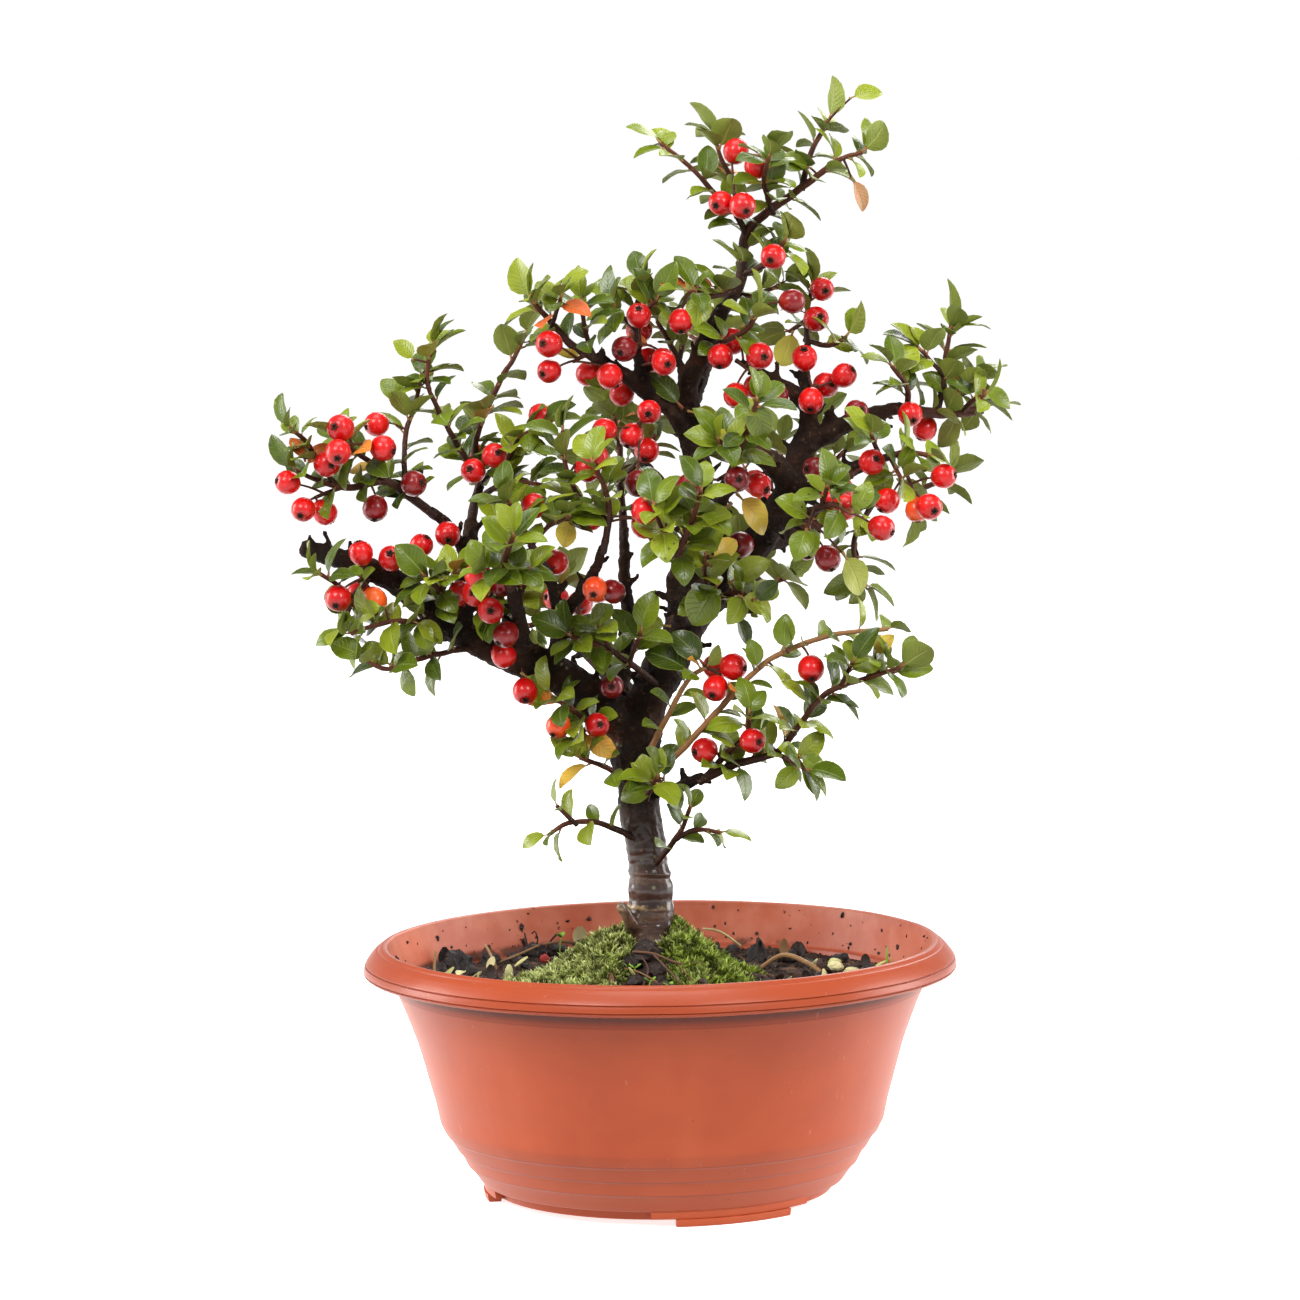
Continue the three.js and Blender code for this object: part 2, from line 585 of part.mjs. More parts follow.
function soil() {
  const wall = bowlInside.slice(2).reverse();
  const rings = wall.map(([radius, height]) => (turn) => [
    Math.cos(turn) * (radius - seatGap), Math.sin(turn) * (radius - seatGap), height + seatGap,
  ]);
  rings.pop();
  soilRings.forEach((radius) => rings.push((turn) => {
    const x = Math.cos(turn) * radius;
    const y = Math.sin(turn) * radius;
    return [x, y, soilTop(x, y)];
  }));
  const hole = new THREE.CylinderGeometry(rootHoleRadius, rootHoleRadius, 40, 12).rotateX(Math.PI / 2);
  hole.translate(trunkFoot[0], trunkFoot[1], rootHoleBottom + 20);
  return ringed(rings, bowlSegments).subtract(solidFromGeometry(hole));
}

// Moss: a low horseshoe mound round the trunk, open to the front.
function mossReach(degrees) {
  const front = Math.exp(-(((degrees + 62) / 34) ** 2)) + 1.5 * Math.exp(-(((degrees - 232) / 40) ** 2));
  return 33 + 20 * front + 9 * Math.exp(-(((degrees - 180) / 30) ** 2)) + 2.5 * Math.sin(degrees * 0.16);
}

function mossTop(x, y, share, fullness) {
  const ripple = 0.7 * Math.sin(x * 0.5) * Math.sin(y * 0.43 + 1);
  return soilTop(x, y) + mossThickness * fullness * (1 - share) + ripple - 1.2 * share;
}

function moss(soilBody, trunkBody) {
  const positions = [];
  const triangles = [];
  for (let k = 0; k <= mossSectors; k += 1) {
    const degrees = mossFrom + ((mossTo - mossFrom) * k) / mossSectors;
    const edge = k === 0 || k === mossSectors ? mossEndDrop : 0;
    const fullness = mossFullness[Math.min(k, mossSectors - k, mossFullness.length - 1)];
    const slice = mossShares.map((share) => {
      const x = trunkFoot[0] + Math.cos(radians(degrees)) * mossReach(degrees) * share;
      const y = trunkFoot[1] + Math.sin(radians(degrees)) * mossReach(degrees) * share;
      return [x, y, mossTop(x, y, share, fullness) - edge];
    });
    slice.forEach((point) => positions.push(...point));
    slice.slice().reverse().forEach(([x, y]) => positions.push(x, y, soilLevel - mossDepth));
  }
  const around = mossShares.length * 2;
  for (let k = 0; k < mossSectors; k += 1) {
    for (let j = 0; j < around; j += 1) {
      const a = k * around + j;
      const b = k * around + ((j + 1) % around);
      triangles.push(a, b, b + around, a, b + around, a + around);
    }
  }
  const last = mossSectors * around;
  for (let j = 0; j < mossShares.length - 1; j += 1) {
    const low = around - 1 - j;
    triangles.push(j, low, j + 1, j + 1, low, low - 1);
    triangles.push(last + j, last + j + 1, last + low, last + j + 1, last + low - 1, last + low);
  }
  const mound = solid(positions, triangles);
  return largestPart(mound.subtract(soilBody.translate([0, 0, seatGap])).subtract(trunkBody));
}

// Leaves

// Everything that a leaf keeps clear of, as balls drawn out along segments.
const obstacles = [];

function addObstacles(points, radii) {
  for (let k = 0; k < points.length - 1; k += 1) {
    obstacles.push({ from: points[k], to: points[k + 1], radius: Math.max(radii[k], radii[k + 1]) });
  }
}

function distanceTo(point, { from, to, radius }) {
  const span = to.clone().sub(from);
  const lengthSquared = span.lengthSq();
  const share = lengthSquared === 0 ? 0 : point.clone().sub(from).dot(span) / lengthSquared;
  const nearest = from.clone().addScaledVector(span, THREE.MathUtils.clamp(share, 0, 1));
  return point.distanceTo(nearest) - radius;
}

function pointOnLine(points, distance) {
  let left = distance;
  for (let k = 0; k < points.length - 1; k += 1) {
    const span = points[k + 1].clone().sub(points[k]);
    const length = span.length();
    if (left <= length || k === points.length - 2) {
      const along = span.divideScalar(length);
      return { point: points[k].clone().addScaledVector(along, Math.min(left, length)), along };
    }
    left -= length;
  }
  return null;
}

function lineLength(points) {
  return points.slice(1).reduce((sum, point, k) => sum + point.distanceTo(points[k]), 0);
}

// The midrib of a leaf at a share of its length, and the direction its face looks there.
function midrib(leaf, share) {
  const bent = leafBend * share;
  const point = leaf.base.clone()
    .addScaledVector(leaf.along, (leaf.length * Math.sin(bent)) / leafBend)
    .addScaledVector(leaf.face, (-leaf.length * (1 - Math.cos(bent))) / leafBend);
  const face = leaf.face.clone().multiplyScalar(Math.cos(bent)).addScaledVector(leaf.along, Math.sin(bent));
  return { point, face };
}

// The leaves of one twig, from its tip back. One ends it, and the rest turn round it.
function leavesOf(points, shootNumber, twigNumber) {
  const length = lineLength(points);
  const lowest = twigNumber === 0 ? bareStem : bareTwig;
  const leaves = [];
  for (let k = 0; k < leavesAtMost; k += 1) {
    const distance = length - tipSpots[Math.min(k, 2)] - Math.max(0, k - 2) * leafSpacing;
    if (distance < lowest && k > 0) break;
    const spot = pointOnLine(points, distance);
    const draw = (n) => chance(shootNumber + 1, twigNumber + 1, k + 1, n);
    const size = leafLength + leafLengthSpread * draw(3);
    const { least, spread } = k === 0 ? tipLean : sideLean;
    const lean = radians(least + spread * draw(2));
    const firstTurn = k * turnPerLeaf + turnSpread * draw(1) + twigNumber * turnPerTwig;
    for (let attempt = 0; attempt < leafTries; attempt += 1) {
      const leaf = aimedLeaf(spot, radians(firstTurn + attempt * turnPerTry), lean, size);
      const clear = clearShares.every((share) => {
        const { point } = midrib(leaf, share);
        return obstacles.every((obstacle) => distanceTo(point, obstacle) > leafClearance);
      });
      if (clear) {
        leaves.push({ ...leaf, key: k });
        break;
      }
    }
  }
  return leaves;
}

// A leaf that leaves its twig at an angle, and turns its face up and away from the trunk.
function aimedLeaf(spot, turn, lean, length) {
  const up = new THREE.Vector3(0, 0, 1);
  const side = spot.along.clone().cross(up);
  if (side.length() < 0.1) side.set(1, 0, 0);
  side.normalize();
  const other = side.clone().cross(spot.along);
  const out = side.multiplyScalar(Math.cos(turn)).addScaledVector(other, Math.sin(turn));
  const along = spot.along.clone().multiplyScalar(Math.cos(lean))
    .addScaledVector(out, Math.sin(lean)).addScaledVector(up, leafLift).normalize();
  const outward = new THREE.Vector3(spot.point.x, spot.point.y, 0).normalize();
  const face = up.clone().multiplyScalar(faceTowards.up).addScaledVector(spot.along, faceTowards.tip)
    .addScaledVector(outward, faceTowards.outward).addScaledVector(out, -faceTowards.twig);
  face.addScaledVector(along, -face.dot(along)).normalize();
  return { base: spot.point.clone(), along, face, length };
}

// A bent blade, widest between two stations, with one keel point below: ten triangles.
function leafSolid(leaf) {
  const across = leaf.along.clone().cross(leaf.face);
  const half = leaf.length * leafWidthRatio;
  const corners = [leaf.base];
  bladeStations.forEach(([share, spread]) => {
    const { point, face } = midrib(leaf, share);
    point.addScaledVector(face, bladeRise);
    corners.push(point.clone().addScaledVector(across, half * spread));
    corners.push(point.clone().addScaledVector(across, -half * spread));
  });
  const keel = midrib(leaf, keelShare);
  corners.push(midrib(leaf, 1).point, keel.point.addScaledVector(keel.face, bladeRise - bladeThickness));
  const top = [0, 1, 2, 1, 3, 4, 1, 4, 2, 3, 5, 4];
  const rim = [0, 1, 3, 5, 4, 2];
  const under = rim.flatMap((corner, k) => [rim[(k + 1) % rim.length], corner, 6]);
  return solid(corners.flatMap((corner) => corner.toArray()), [...top, ...under]);
}

function boxesMeet(a, b) {
  return [0, 1, 2].every((axis) => a.min[axis] < b.max[axis] && b.min[axis] < a.max[axis]);
}

const placedSolids = [];

function remember(body, owner) {
  placedSolids.push({ body, owner, box: body.boundingBox() });
}

function isClear(body, owner) {
  const box = body.boundingBox();
  return placedSolids.every((other) => other.owner === owner || !boxesMeet(box, other.box)
    || body.intersect(other.body).volume() < smallestCrossing);
}

// Build order: wood, then the twigs and bunches seated on it, then the leaves between them.
const boughLines = Object.values(boughs);
const wood = unionOf(boughLines.map((line) => limb(line)));
const woodWithGap = unionOf(boughLines.map((line) => limb(line, seatGap)));
boughLines.forEach((line) => {
  addObstacles(line.map(placed), line.map((entry) => entry[3]));
  remember(limb(line, seatGap), 'wood');
});

const shootNames = Object.keys(shoots);
const twigs = {};
const twigsWithGap = {};
shootNames.forEach((name) => {
  const lines = shoots[name];
  lines.forEach((line) => {
    addObstacles(line.map(placed), line.map((entry) => entry[3]));
    remember(limb(line, seatGap), name);
  });
  twigs[name] = largestPart(unionOf(lines.map((line) => limb(line))).subtract(woodWithGap));
  twigsWithGap[name] = unionOf(lines.map((line) => limb(line, seatGap)));
});

// A berry and its stalk in one: a twenty-sided ball with one face drawn out to the hub.
function stalkedBerry(centre, hub) {
  const ball = new THREE.IcosahedronGeometry(berryRadius, 0);
  const corners = ball.attributes.position;
  const faceMiddle = [0, 1, 2]
    .reduce((sum, k) => sum.add(new THREE.Vector3().fromBufferAttribute(corners, k)), new THREE.Vector3());
  const toHub = hub.clone().sub(centre);
  const turn = new THREE.Quaternion().setFromUnitVectors(faceMiddle.normalize(), toHub.clone().normalize());
  ball.applyQuaternion(turn).translate(...centre.toArray());
  const root = [0, 1, 2].map((k) => new THREE.Vector3().fromBufferAttribute(corners, k));
  const direction = toHub.clone().normalize();
  const distance = toHub.length();
  const positions = [];
  const ring = (reach, radius) => root.map((corner) => {
    const spoke = corner.clone().sub(centre);
    spoke.addScaledVector(direction, -spoke.dot(direction)).setLength(radius);
    return centre.clone().addScaledVector(direction, reach).add(spoke);
  });
  const rings = [root, ring(berryRadius * 0.95, stalkRadius), ring(distance - 0.3, stalkRadius)];
  const quad = (a, b, c, d) => [a, b, c, a, c, d].forEach((v) => positions.push(...v.toArray()));
  for (let row = 0; row < 2; row += 1) {
    for (let k = 0; k < 3; k += 1) {
      const next = (k + 1) % 3;
      quad(rings[row][k], rings[row][next], rings[row + 1][next], rings[row + 1][k]);
    }
  }
  rings[2].forEach((v) => positions.push(...v.toArray()));
  positions.push(...Array.from(corners.array).slice(9));
  const skin = new THREE.BufferGeometry();
  skin.setAttribute('position', new THREE.Float32BufferAttribute(positions, 3));
  return solidFromGeometry(skin);
}

// Moves a berry along the line of sight to the nearest depth where it touches nothing.
function settled([across, up, depth]) {
  let centre = placed([across, up, depth]);
  for (let step = 1; step < depthSteps; step += 1) {
    const room = Math.min(...obstacles.map((obstacle) => distanceTo(centre, obstacle)));
    if (room > berryRadius + seatGap) break;
    const side = step % 2 === 1 ? -1 : 1;
    const shift = side * Math.ceil(step / 2) * depthStep;
    centre = placed([across, up, depth + shift]);
  }
  obstacles.push({ from: centre, to: centre, radius: berryRadius });
  return centre;
}

// A bunch: one stem to the berries' middle, and each stalk from its own place on the stem.
function berryBunch({ from, berries }) {
  const anchor = placed(from);
  const centres = berries.map(settled);
  const middlePoint = centres.reduce((sum, centre) => sum.add(centre), new THREE.Vector3())
    .divideScalar(centres.length);
  const end = anchor.clone().lerp(middlePoint, stemShare);
  const pieces = [tube([anchor, end], [stemRadius, stemRadius], 3)];
  centres.forEach((centre, k) => {
    const share = 0.45 + (0.5 * (k + 1)) / centres.length;
    pieces.push(stalkedBerry(centre, anchor.clone().lerp(end, share)));
  });
  return unionOf(pieces);
}

const allTwigsWithGap = unionOf(Object.values(twigsWithGap));
const berrySolids = {};
Object.entries(bunches).forEach(([name, bunch]) => {
  berrySolids[name] = largestPart(berryBunch(bunch).subtract(woodWithGap).subtract(allTwigsWithGap));
  remember(berrySolids[name], `berries ${name}`);
});

const leafySolids = {};
shootNames.forEach((name, shootNumber) => {
  const pieces = [twigs[name]];
  shoots[name].forEach((line, twigNumber) => {
    leavesOf(line.map(placed), shootNumber, twigNumber).forEach((leaf) => {
      if (leaf.key % keptLeaf !== 0) return;
      const blade = leafSolid(leaf);
      if (!isClear(blade, name)) return;
      remember(blade, `${name} leaf`);
      pieces.push(blade);
    });
  });
  leafySolids[name] = largestPart(unionOf(pieces));
});

// Scene
const look = {
  plastic: { color: 0xbe5f41, roughness: 0.42, metalness: 0 },
  soil: { color: 0x2e231c, roughness: 0.95, metalness: 0 },
  moss: { color: 0x7d9a3a, roughness: 0.9, metalness: 0 },
  bark: { color: 0x2c211c, roughness: 0.8, metalness: 0 },
  leaf: { color: 0x6f8f35, roughness: 0.4, metalness: 0 },
  berry: { color: 0xd21c1c, roughness: 0.25, metalness: 0 },
};

function mesh(name, body, material) {
  const { vertProperties, triVerts } = body.getMesh();
  const geometry = new THREE.BufferGeometry();
  geometry.setAttribute('position', new THREE.BufferAttribute(vertProperties, 3));
  geometry.setIndex(new THREE.BufferAttribute(triVerts, 1));
  geometry.computeVertexNormals();
  const piece = new THREE.Mesh(geometry, new THREE.MeshStandardMaterial(material));
  piece.name = name;
  return piece;
}

const bonsai = new THREE.Group();
const soilBody = soil();
bonsai.add(mesh('pot', bowl(), look.plastic));
bonsai.add(mesh('soil', soilBody, look.soil));
bonsai.add(mesh('moss', moss(soilBody, woodWithGap), look.moss));
bonsai.add(mesh('trunk_and_boughs', wood, look.bark));
shootNames.forEach((name) => bonsai.add(mesh(`leaves_${name}`, leafySolids[name], look.leaf)));
Object.keys(berrySolids).forEach((name) => {
  bonsai.add(mesh(`berries_${name}`, berrySolids[name], look.berry));
});

export default bonsai;
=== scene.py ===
# A cotoneaster bonsai in its terracotta coloured plastic bowl.
# Lengths in the lists are millimetres. A mesh is written in metres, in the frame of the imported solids.
import json
import math

import bmesh
import bpy
import numpy as np
from mathutils import Matrix, Vector, noise

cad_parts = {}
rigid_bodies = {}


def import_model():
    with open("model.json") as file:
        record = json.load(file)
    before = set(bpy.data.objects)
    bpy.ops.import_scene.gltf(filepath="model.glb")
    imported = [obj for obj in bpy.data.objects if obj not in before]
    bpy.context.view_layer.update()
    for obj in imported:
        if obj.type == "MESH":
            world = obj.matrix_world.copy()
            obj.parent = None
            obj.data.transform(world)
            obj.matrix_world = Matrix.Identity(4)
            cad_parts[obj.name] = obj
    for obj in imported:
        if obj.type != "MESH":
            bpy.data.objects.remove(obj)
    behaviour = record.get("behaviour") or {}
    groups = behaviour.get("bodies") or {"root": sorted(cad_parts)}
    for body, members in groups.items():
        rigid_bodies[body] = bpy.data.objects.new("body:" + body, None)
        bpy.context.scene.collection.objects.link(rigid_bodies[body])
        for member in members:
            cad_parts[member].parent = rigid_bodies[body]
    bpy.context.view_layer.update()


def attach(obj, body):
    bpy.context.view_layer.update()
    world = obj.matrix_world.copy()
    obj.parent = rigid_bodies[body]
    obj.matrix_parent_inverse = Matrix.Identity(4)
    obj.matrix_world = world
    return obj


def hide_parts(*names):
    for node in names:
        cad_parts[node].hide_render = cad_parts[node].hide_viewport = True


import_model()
print("frame loaded")

mm = 0.001
upward = Vector((0, 0, 1))


# Small helpers


def colour(red, green, blue):
    # a screen colour, 0 to 255, as the linear numbers that a shader takes
    def linear(value):
        share = value / 255
        return share / 12.92 if share <= 0.04045 else ((share + 0.055) / 1.055) ** 2.4
    return (linear(red), linear(green), linear(blue), 1.0)


def chance(a, b, c, d):
    # a repeatable number from 0 to 1 for a leaf or berry, from its place in the lists
    wave = math.sin(a * 12.9898 + b * 78.233 + c * 37.719 + d * 4.581) * 43758.5453
    return wave - math.floor(wave)


def clamp(value, low=0.0, high=1.0):
    return max(low, min(high, value))


def smoothStep(low, high, value):
    share = clamp((value - low) / (high - low))
    return share * share * (3 - 2 * share)


def lumpy(point, scale, shift=0.0):
    # smooth noise of a point in millimetres, about -1 to 1
    return noise.noise(Vector(point) * scale + Vector((shift, shift * 0.7, -shift)))


def makeMesh(name, corners, faces, smooth=True):
    mesh = bpy.data.meshes.new(name)
    mesh.from_pydata([tuple(axis * mm for axis in corner) for corner in corners], [], faces)
    if smooth:
        mesh.shade_smooth()
    mesh.update()
    return mesh


def makePiece(name, mesh, *finishes):
    piece = bpy.data.objects.new(name, mesh)
    bpy.context.scene.collection.objects.link(piece)
    for finish in finishes:
        mesh.materials.append(finish)
    return piece


def onRing(radius, turn, height):
    return Vector((radius * math.cos(turn), radius * math.sin(turn), height))


def ringFaces(rows, around):
    # the wall of a tube of corner rings, then its two ends
    faces = []
    for row in range(rows - 1):
        for k in range(around):
            a, b = row * around + k, row * around + (k + 1) % around
            faces.append([a, b, b + around, a + around])
    top = (rows - 1) * around
    return [*faces, list(range(around))[::-1], list(range(top, top + around))]


def slabFaces(rows, wide):
    # a closed slab: a grid of top corners, the same grid below it, and the rim all round
    faces = []
    under = (rows + 1) * wide
    for row in range(rows):
        for a in range(row * wide, row * wide + wide - 1):
            b = a + wide
            faces.append([a, a + 1, b + 1, b])
            faces.append([under + b, under + b + 1, under + a + 1, under + a])
        a, b = row * wide, row * wide + wide - 1
        faces.append([a, a + wide, under + a + wide, under + a])
        faces.append([under + b, under + b + wide, b + wide, b])
    for a in range(wide - 1):
        faces.append([a + 1, a, under + a, under + a + 1])
    for a in range(rows * wide, rows * wide + wide - 1):
        faces.append([under + a + 1, under + a, a, a + 1])
    return faces


def joined(parts):
    # several (corners, faces) lists as one
    corners = []
    faces = []
    for partCorners, partFaces in parts:
        start = len(corners)
        corners.extend(partCorners)
        faces.extend([[start + k for k in face] for face in partFaces])
    return corners, faces


def writeValues(mesh, name, values, kind="FLOAT", domain="POINT"):
    attribute = mesh.attributes.new(name, kind, domain)
    form = {"INT": np.int32, "BOOLEAN": bool}.get(kind, np.float32)
    field = "vector" if kind == "FLOAT_VECTOR" else "value"
    attribute.data.foreach_set(field, np.asarray(values, form).ravel())


def bakeModifiers(piece):
    # the evaluated result becomes the piece's own plain mesh
    graph = bpy.context.evaluated_depsgraph_get()
    mesh = bpy.data.meshes.new_from_object(
        piece.evaluated_get(graph), preserve_all_data_layers=True, depsgraph=graph)
    piece.modifiers.clear()
    piece.data = mesh
    mesh.name = piece.name
    return piece


def finishPiece(piece, slotName, *nodes):
    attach(piece, "root")
    if nodes:
        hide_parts(*nodes)
    print(piece.name, len(piece.data.polygons), "faces")


# Node boards: one way to write shader and geometry trees


class Wire:
    # an output socket that takes part in Python sums
    def __init__(self, board, socket):
        self.board = board
        self.socket = socket

    def sum(self, operation, *others):
        values = dict(enumerate([self, *others]))
        return self.board.add(self.board.mathKind, {"operation": operation}, values)

    def __add__(self, other):
        return self.sum("ADD", other)

    def __radd__(self, other):
        return self.sum("ADD", other)

    def __sub__(self, other):
        return self.sum("SUBTRACT", other)

    def __rsub__(self, other):
        return self.board.value(other, "SUBTRACT", self)

    def __mul__(self, other):
        return self.sum("MULTIPLY", other)

    def __pow__(self, other):
        return self.sum("POWER", other)

    def __abs__(self):
        return self.sum("ABSOLUTE")

    def step(self, low, high):
        # 0 below low, 1 above high, smooth between; low may be the larger
        return self.board.add("ShaderNodeMapRange", {"interpolation_type": "SMOOTHSTEP"}, {
            "Value": self, "From Min": low, "From Max": high})

    def tint(self, *layers):
        # colours laid over this one in turn, each with its share
        result = self
        for share, *shade in layers:
            result = self.board.blend(share, result, tuple(shade))
        return result

    def fraction(self):
        return self.sum("FRACT")


class Board:
    mathKind = "ShaderNodeMath"

    def __init__(self, tree):
        self.tree = tree

    @staticmethod
    def pick(sockets, name):
        if isinstance(name, int):
            return [socket for socket in sockets if socket.enabled][name]
        return next(socket for socket in sockets if socket.name == name and socket.enabled)

    def feed(self, socket, value):
        if isinstance(value, Wire):
            self.tree.links.new(value.socket, socket)
        else:
            plain = isinstance(value, tuple) and socket.type == "RGBA" and len(value) == 3
            socket.default_value = colour(*value) if plain else value

    def add(self, kind, settings=None, sockets=None, output=0):
        node = self.tree.nodes.new(kind)
        for name, value in (settings or {}).items():
            if name == "stops":
                self.setStops(node.color_ramp, value)
            else:
                setattr(node, name, value)
        for name, value in (sockets or {}).items():
            self.feed(self.pick(node.inputs, name), value)
        return Wire(self, self.pick(node.outputs, output))

    @staticmethod
    def setStops(ramp, stops):
        while len(ramp.elements) > 1:
            ramp.elements.remove(ramp.elements[-1])
        ramp.elements[0].position = stops[0][0]
        for place, tone in stops[1:]:
            ramp.elements.new(place)
        for element, (place, tone) in zip(ramp.elements, stops):
            element.color = colour(*tone)

    def value(self, first, operation, second):
        return self.add(self.mathKind, {"operation": operation}, {0: first, 1: second})

    # shader shorthands

    def places(self, name="Object"):
        return self.add("ShaderNodeTexCoord", output=name)

    def parts(self, vector, axis):
        return self.add("ShaderNodeSeparateXYZ", sockets={0: vector}, output="XYZ".index(axis))

    def attribute(self, name, output="Fac"):
        return self.add("ShaderNodeAttribute", {"attribute_name": name}, output=output)

    def cloud(self, scale, detail=3.0, rough=0.55, vector=None, stretch=None):
        # noise about 0 to 1; scale counts lumps in a metre
        vector = vector or self.places()
        if stretch:
            vector = self.add("ShaderNodeMapping", sockets={"Vector": vector, "Scale": stretch})
        return self.add("ShaderNodeTexNoise", sockets={
            "Vector": vector, "Scale": scale, "Detail": detail, "Roughness": rough})

    def cells(self, scale, feature="F1", output="Distance", vector=None):
        return self.add("ShaderNodeTexVoronoi", {"feature": feature}, {
            "Vector": vector or self.places(), "Scale": scale}, output)

    def blend(self, share, first, second, mode="MIX"):
        return self.add("ShaderNodeMix", {"data_type": "RGBA", "blend_type": mode}, {
            "Factor": share, "A": first, "B": second}, "Result")

    def ramp(self, value, stops):
        return self.add("ShaderNodeValToRGB", {"stops": stops}, {0: value}, "Color")

    def bump(self, height, distance, strength=1.0):
        # distance is the real height of the relief, in millimetres
        return self.add("ShaderNodeBump", sockets={
            "Height": height, "Distance": distance * mm, "Strength": strength}, output="Normal")


def makeFinish(name, build, **fixed):
    # build(board) gives what varies over the surface; fixed goes on the shader's own sockets
    finish = bpy.data.materials.new(name)
    finish.use_nodes = True
    tree = finish.node_tree
    tree.nodes.clear()
    board = Board(tree)
    output = tree.nodes.new("ShaderNodeOutputMaterial")
    shader = tree.nodes.new("ShaderNodeBsdfPrincipled")
    tree.links.new(shader.outputs[0], output.inputs["Surface"])
    for socketName, value in fixed.items():
        shader.inputs[socketNames[socketName]].default_value = value
    for socketName, value in build(board).items():
        board.feed(shader.inputs[socketNames[socketName]], value)
    return finish


socketNames = {
    "base": "Base Color", "roughness": "Roughness", "normal": "Normal", "coat": "Coat Weight",
    "coatRoughness": "Coat Roughness", "specular": "Specular IOR Level", "ior": "IOR",
    "glow": "Emission Color", "glowStrength": "Emission Strength",
}


# Where things stand: across and up as seen by the eye, and depth away from it

eye = {"distance": 1790, "height": 364}


def placed(spot):
    across, up, depth = spot[:3]
    reach = (eye["distance"] + depth) / eye["distance"]
    return Vector((across * reach, depth, eye["height"] + (up - eye["height"]) * reach))


def smoothLine(points, radii, step):
    # a curve through the points, with its radius, at about one place every step
    line = []
    count = len(points)
    for k in range(count - 1):
        before = points[max(k - 1, 0)]
        here, ahead = points[k], points[k + 1]
        after = points[min(k + 2, count - 1)]
        pieces = max(1, round((ahead - here).length / step))
        for j in range(pieces):
            t = j / pieces
            spot = 0.5 * (2 * here + (ahead - before) * t
                          + (2 * before - 5 * here + 4 * ahead - after) * t * t
                          + (3 * here - before - 3 * ahead + after) * t * t * t)
            line.append((spot, radii[k] + (radii[k + 1] - radii[k]) * t))
    line.append((points[-1], radii[-1]))
    return line


def tubeBody(line, sides):
    # a closed round tube along (point, radius) pairs, with domed ends
    corners = []
    side = Vector((0, 1, 0))
    first, last = line[0], line[-1]
    begin = (line[0][0] - line[1][0]).normalized()
    end = (line[-1][0] - line[-2][0]).normalized()
    rows = [(first[0] + begin * first[1] * 0.5, first[1] * 0.62), *line,
            (last[0] + end * last[1] * 0.5, last[1] * 0.62)]
    for k, (point, radius) in enumerate(rows):
        along = (rows[min(k + 1, len(rows) - 1)][0] - rows[max(k - 1, 0)][0]).normalized()
        if abs(along.dot(side)) > 0.95:
            side = Vector((1, 0, 0))
        side = (side - along * side.dot(along)).normalized()
        other = along.cross(side)
        for j in range(sides):
            turn = j / sides * math.tau
            corners.append(point + side * math.cos(turn) * radius + other * math.sin(turn) * radius)
    return corners, ringFaces(len(rows), sides)


# The wood: each bough from its root to its end, as across, up, depth and radius

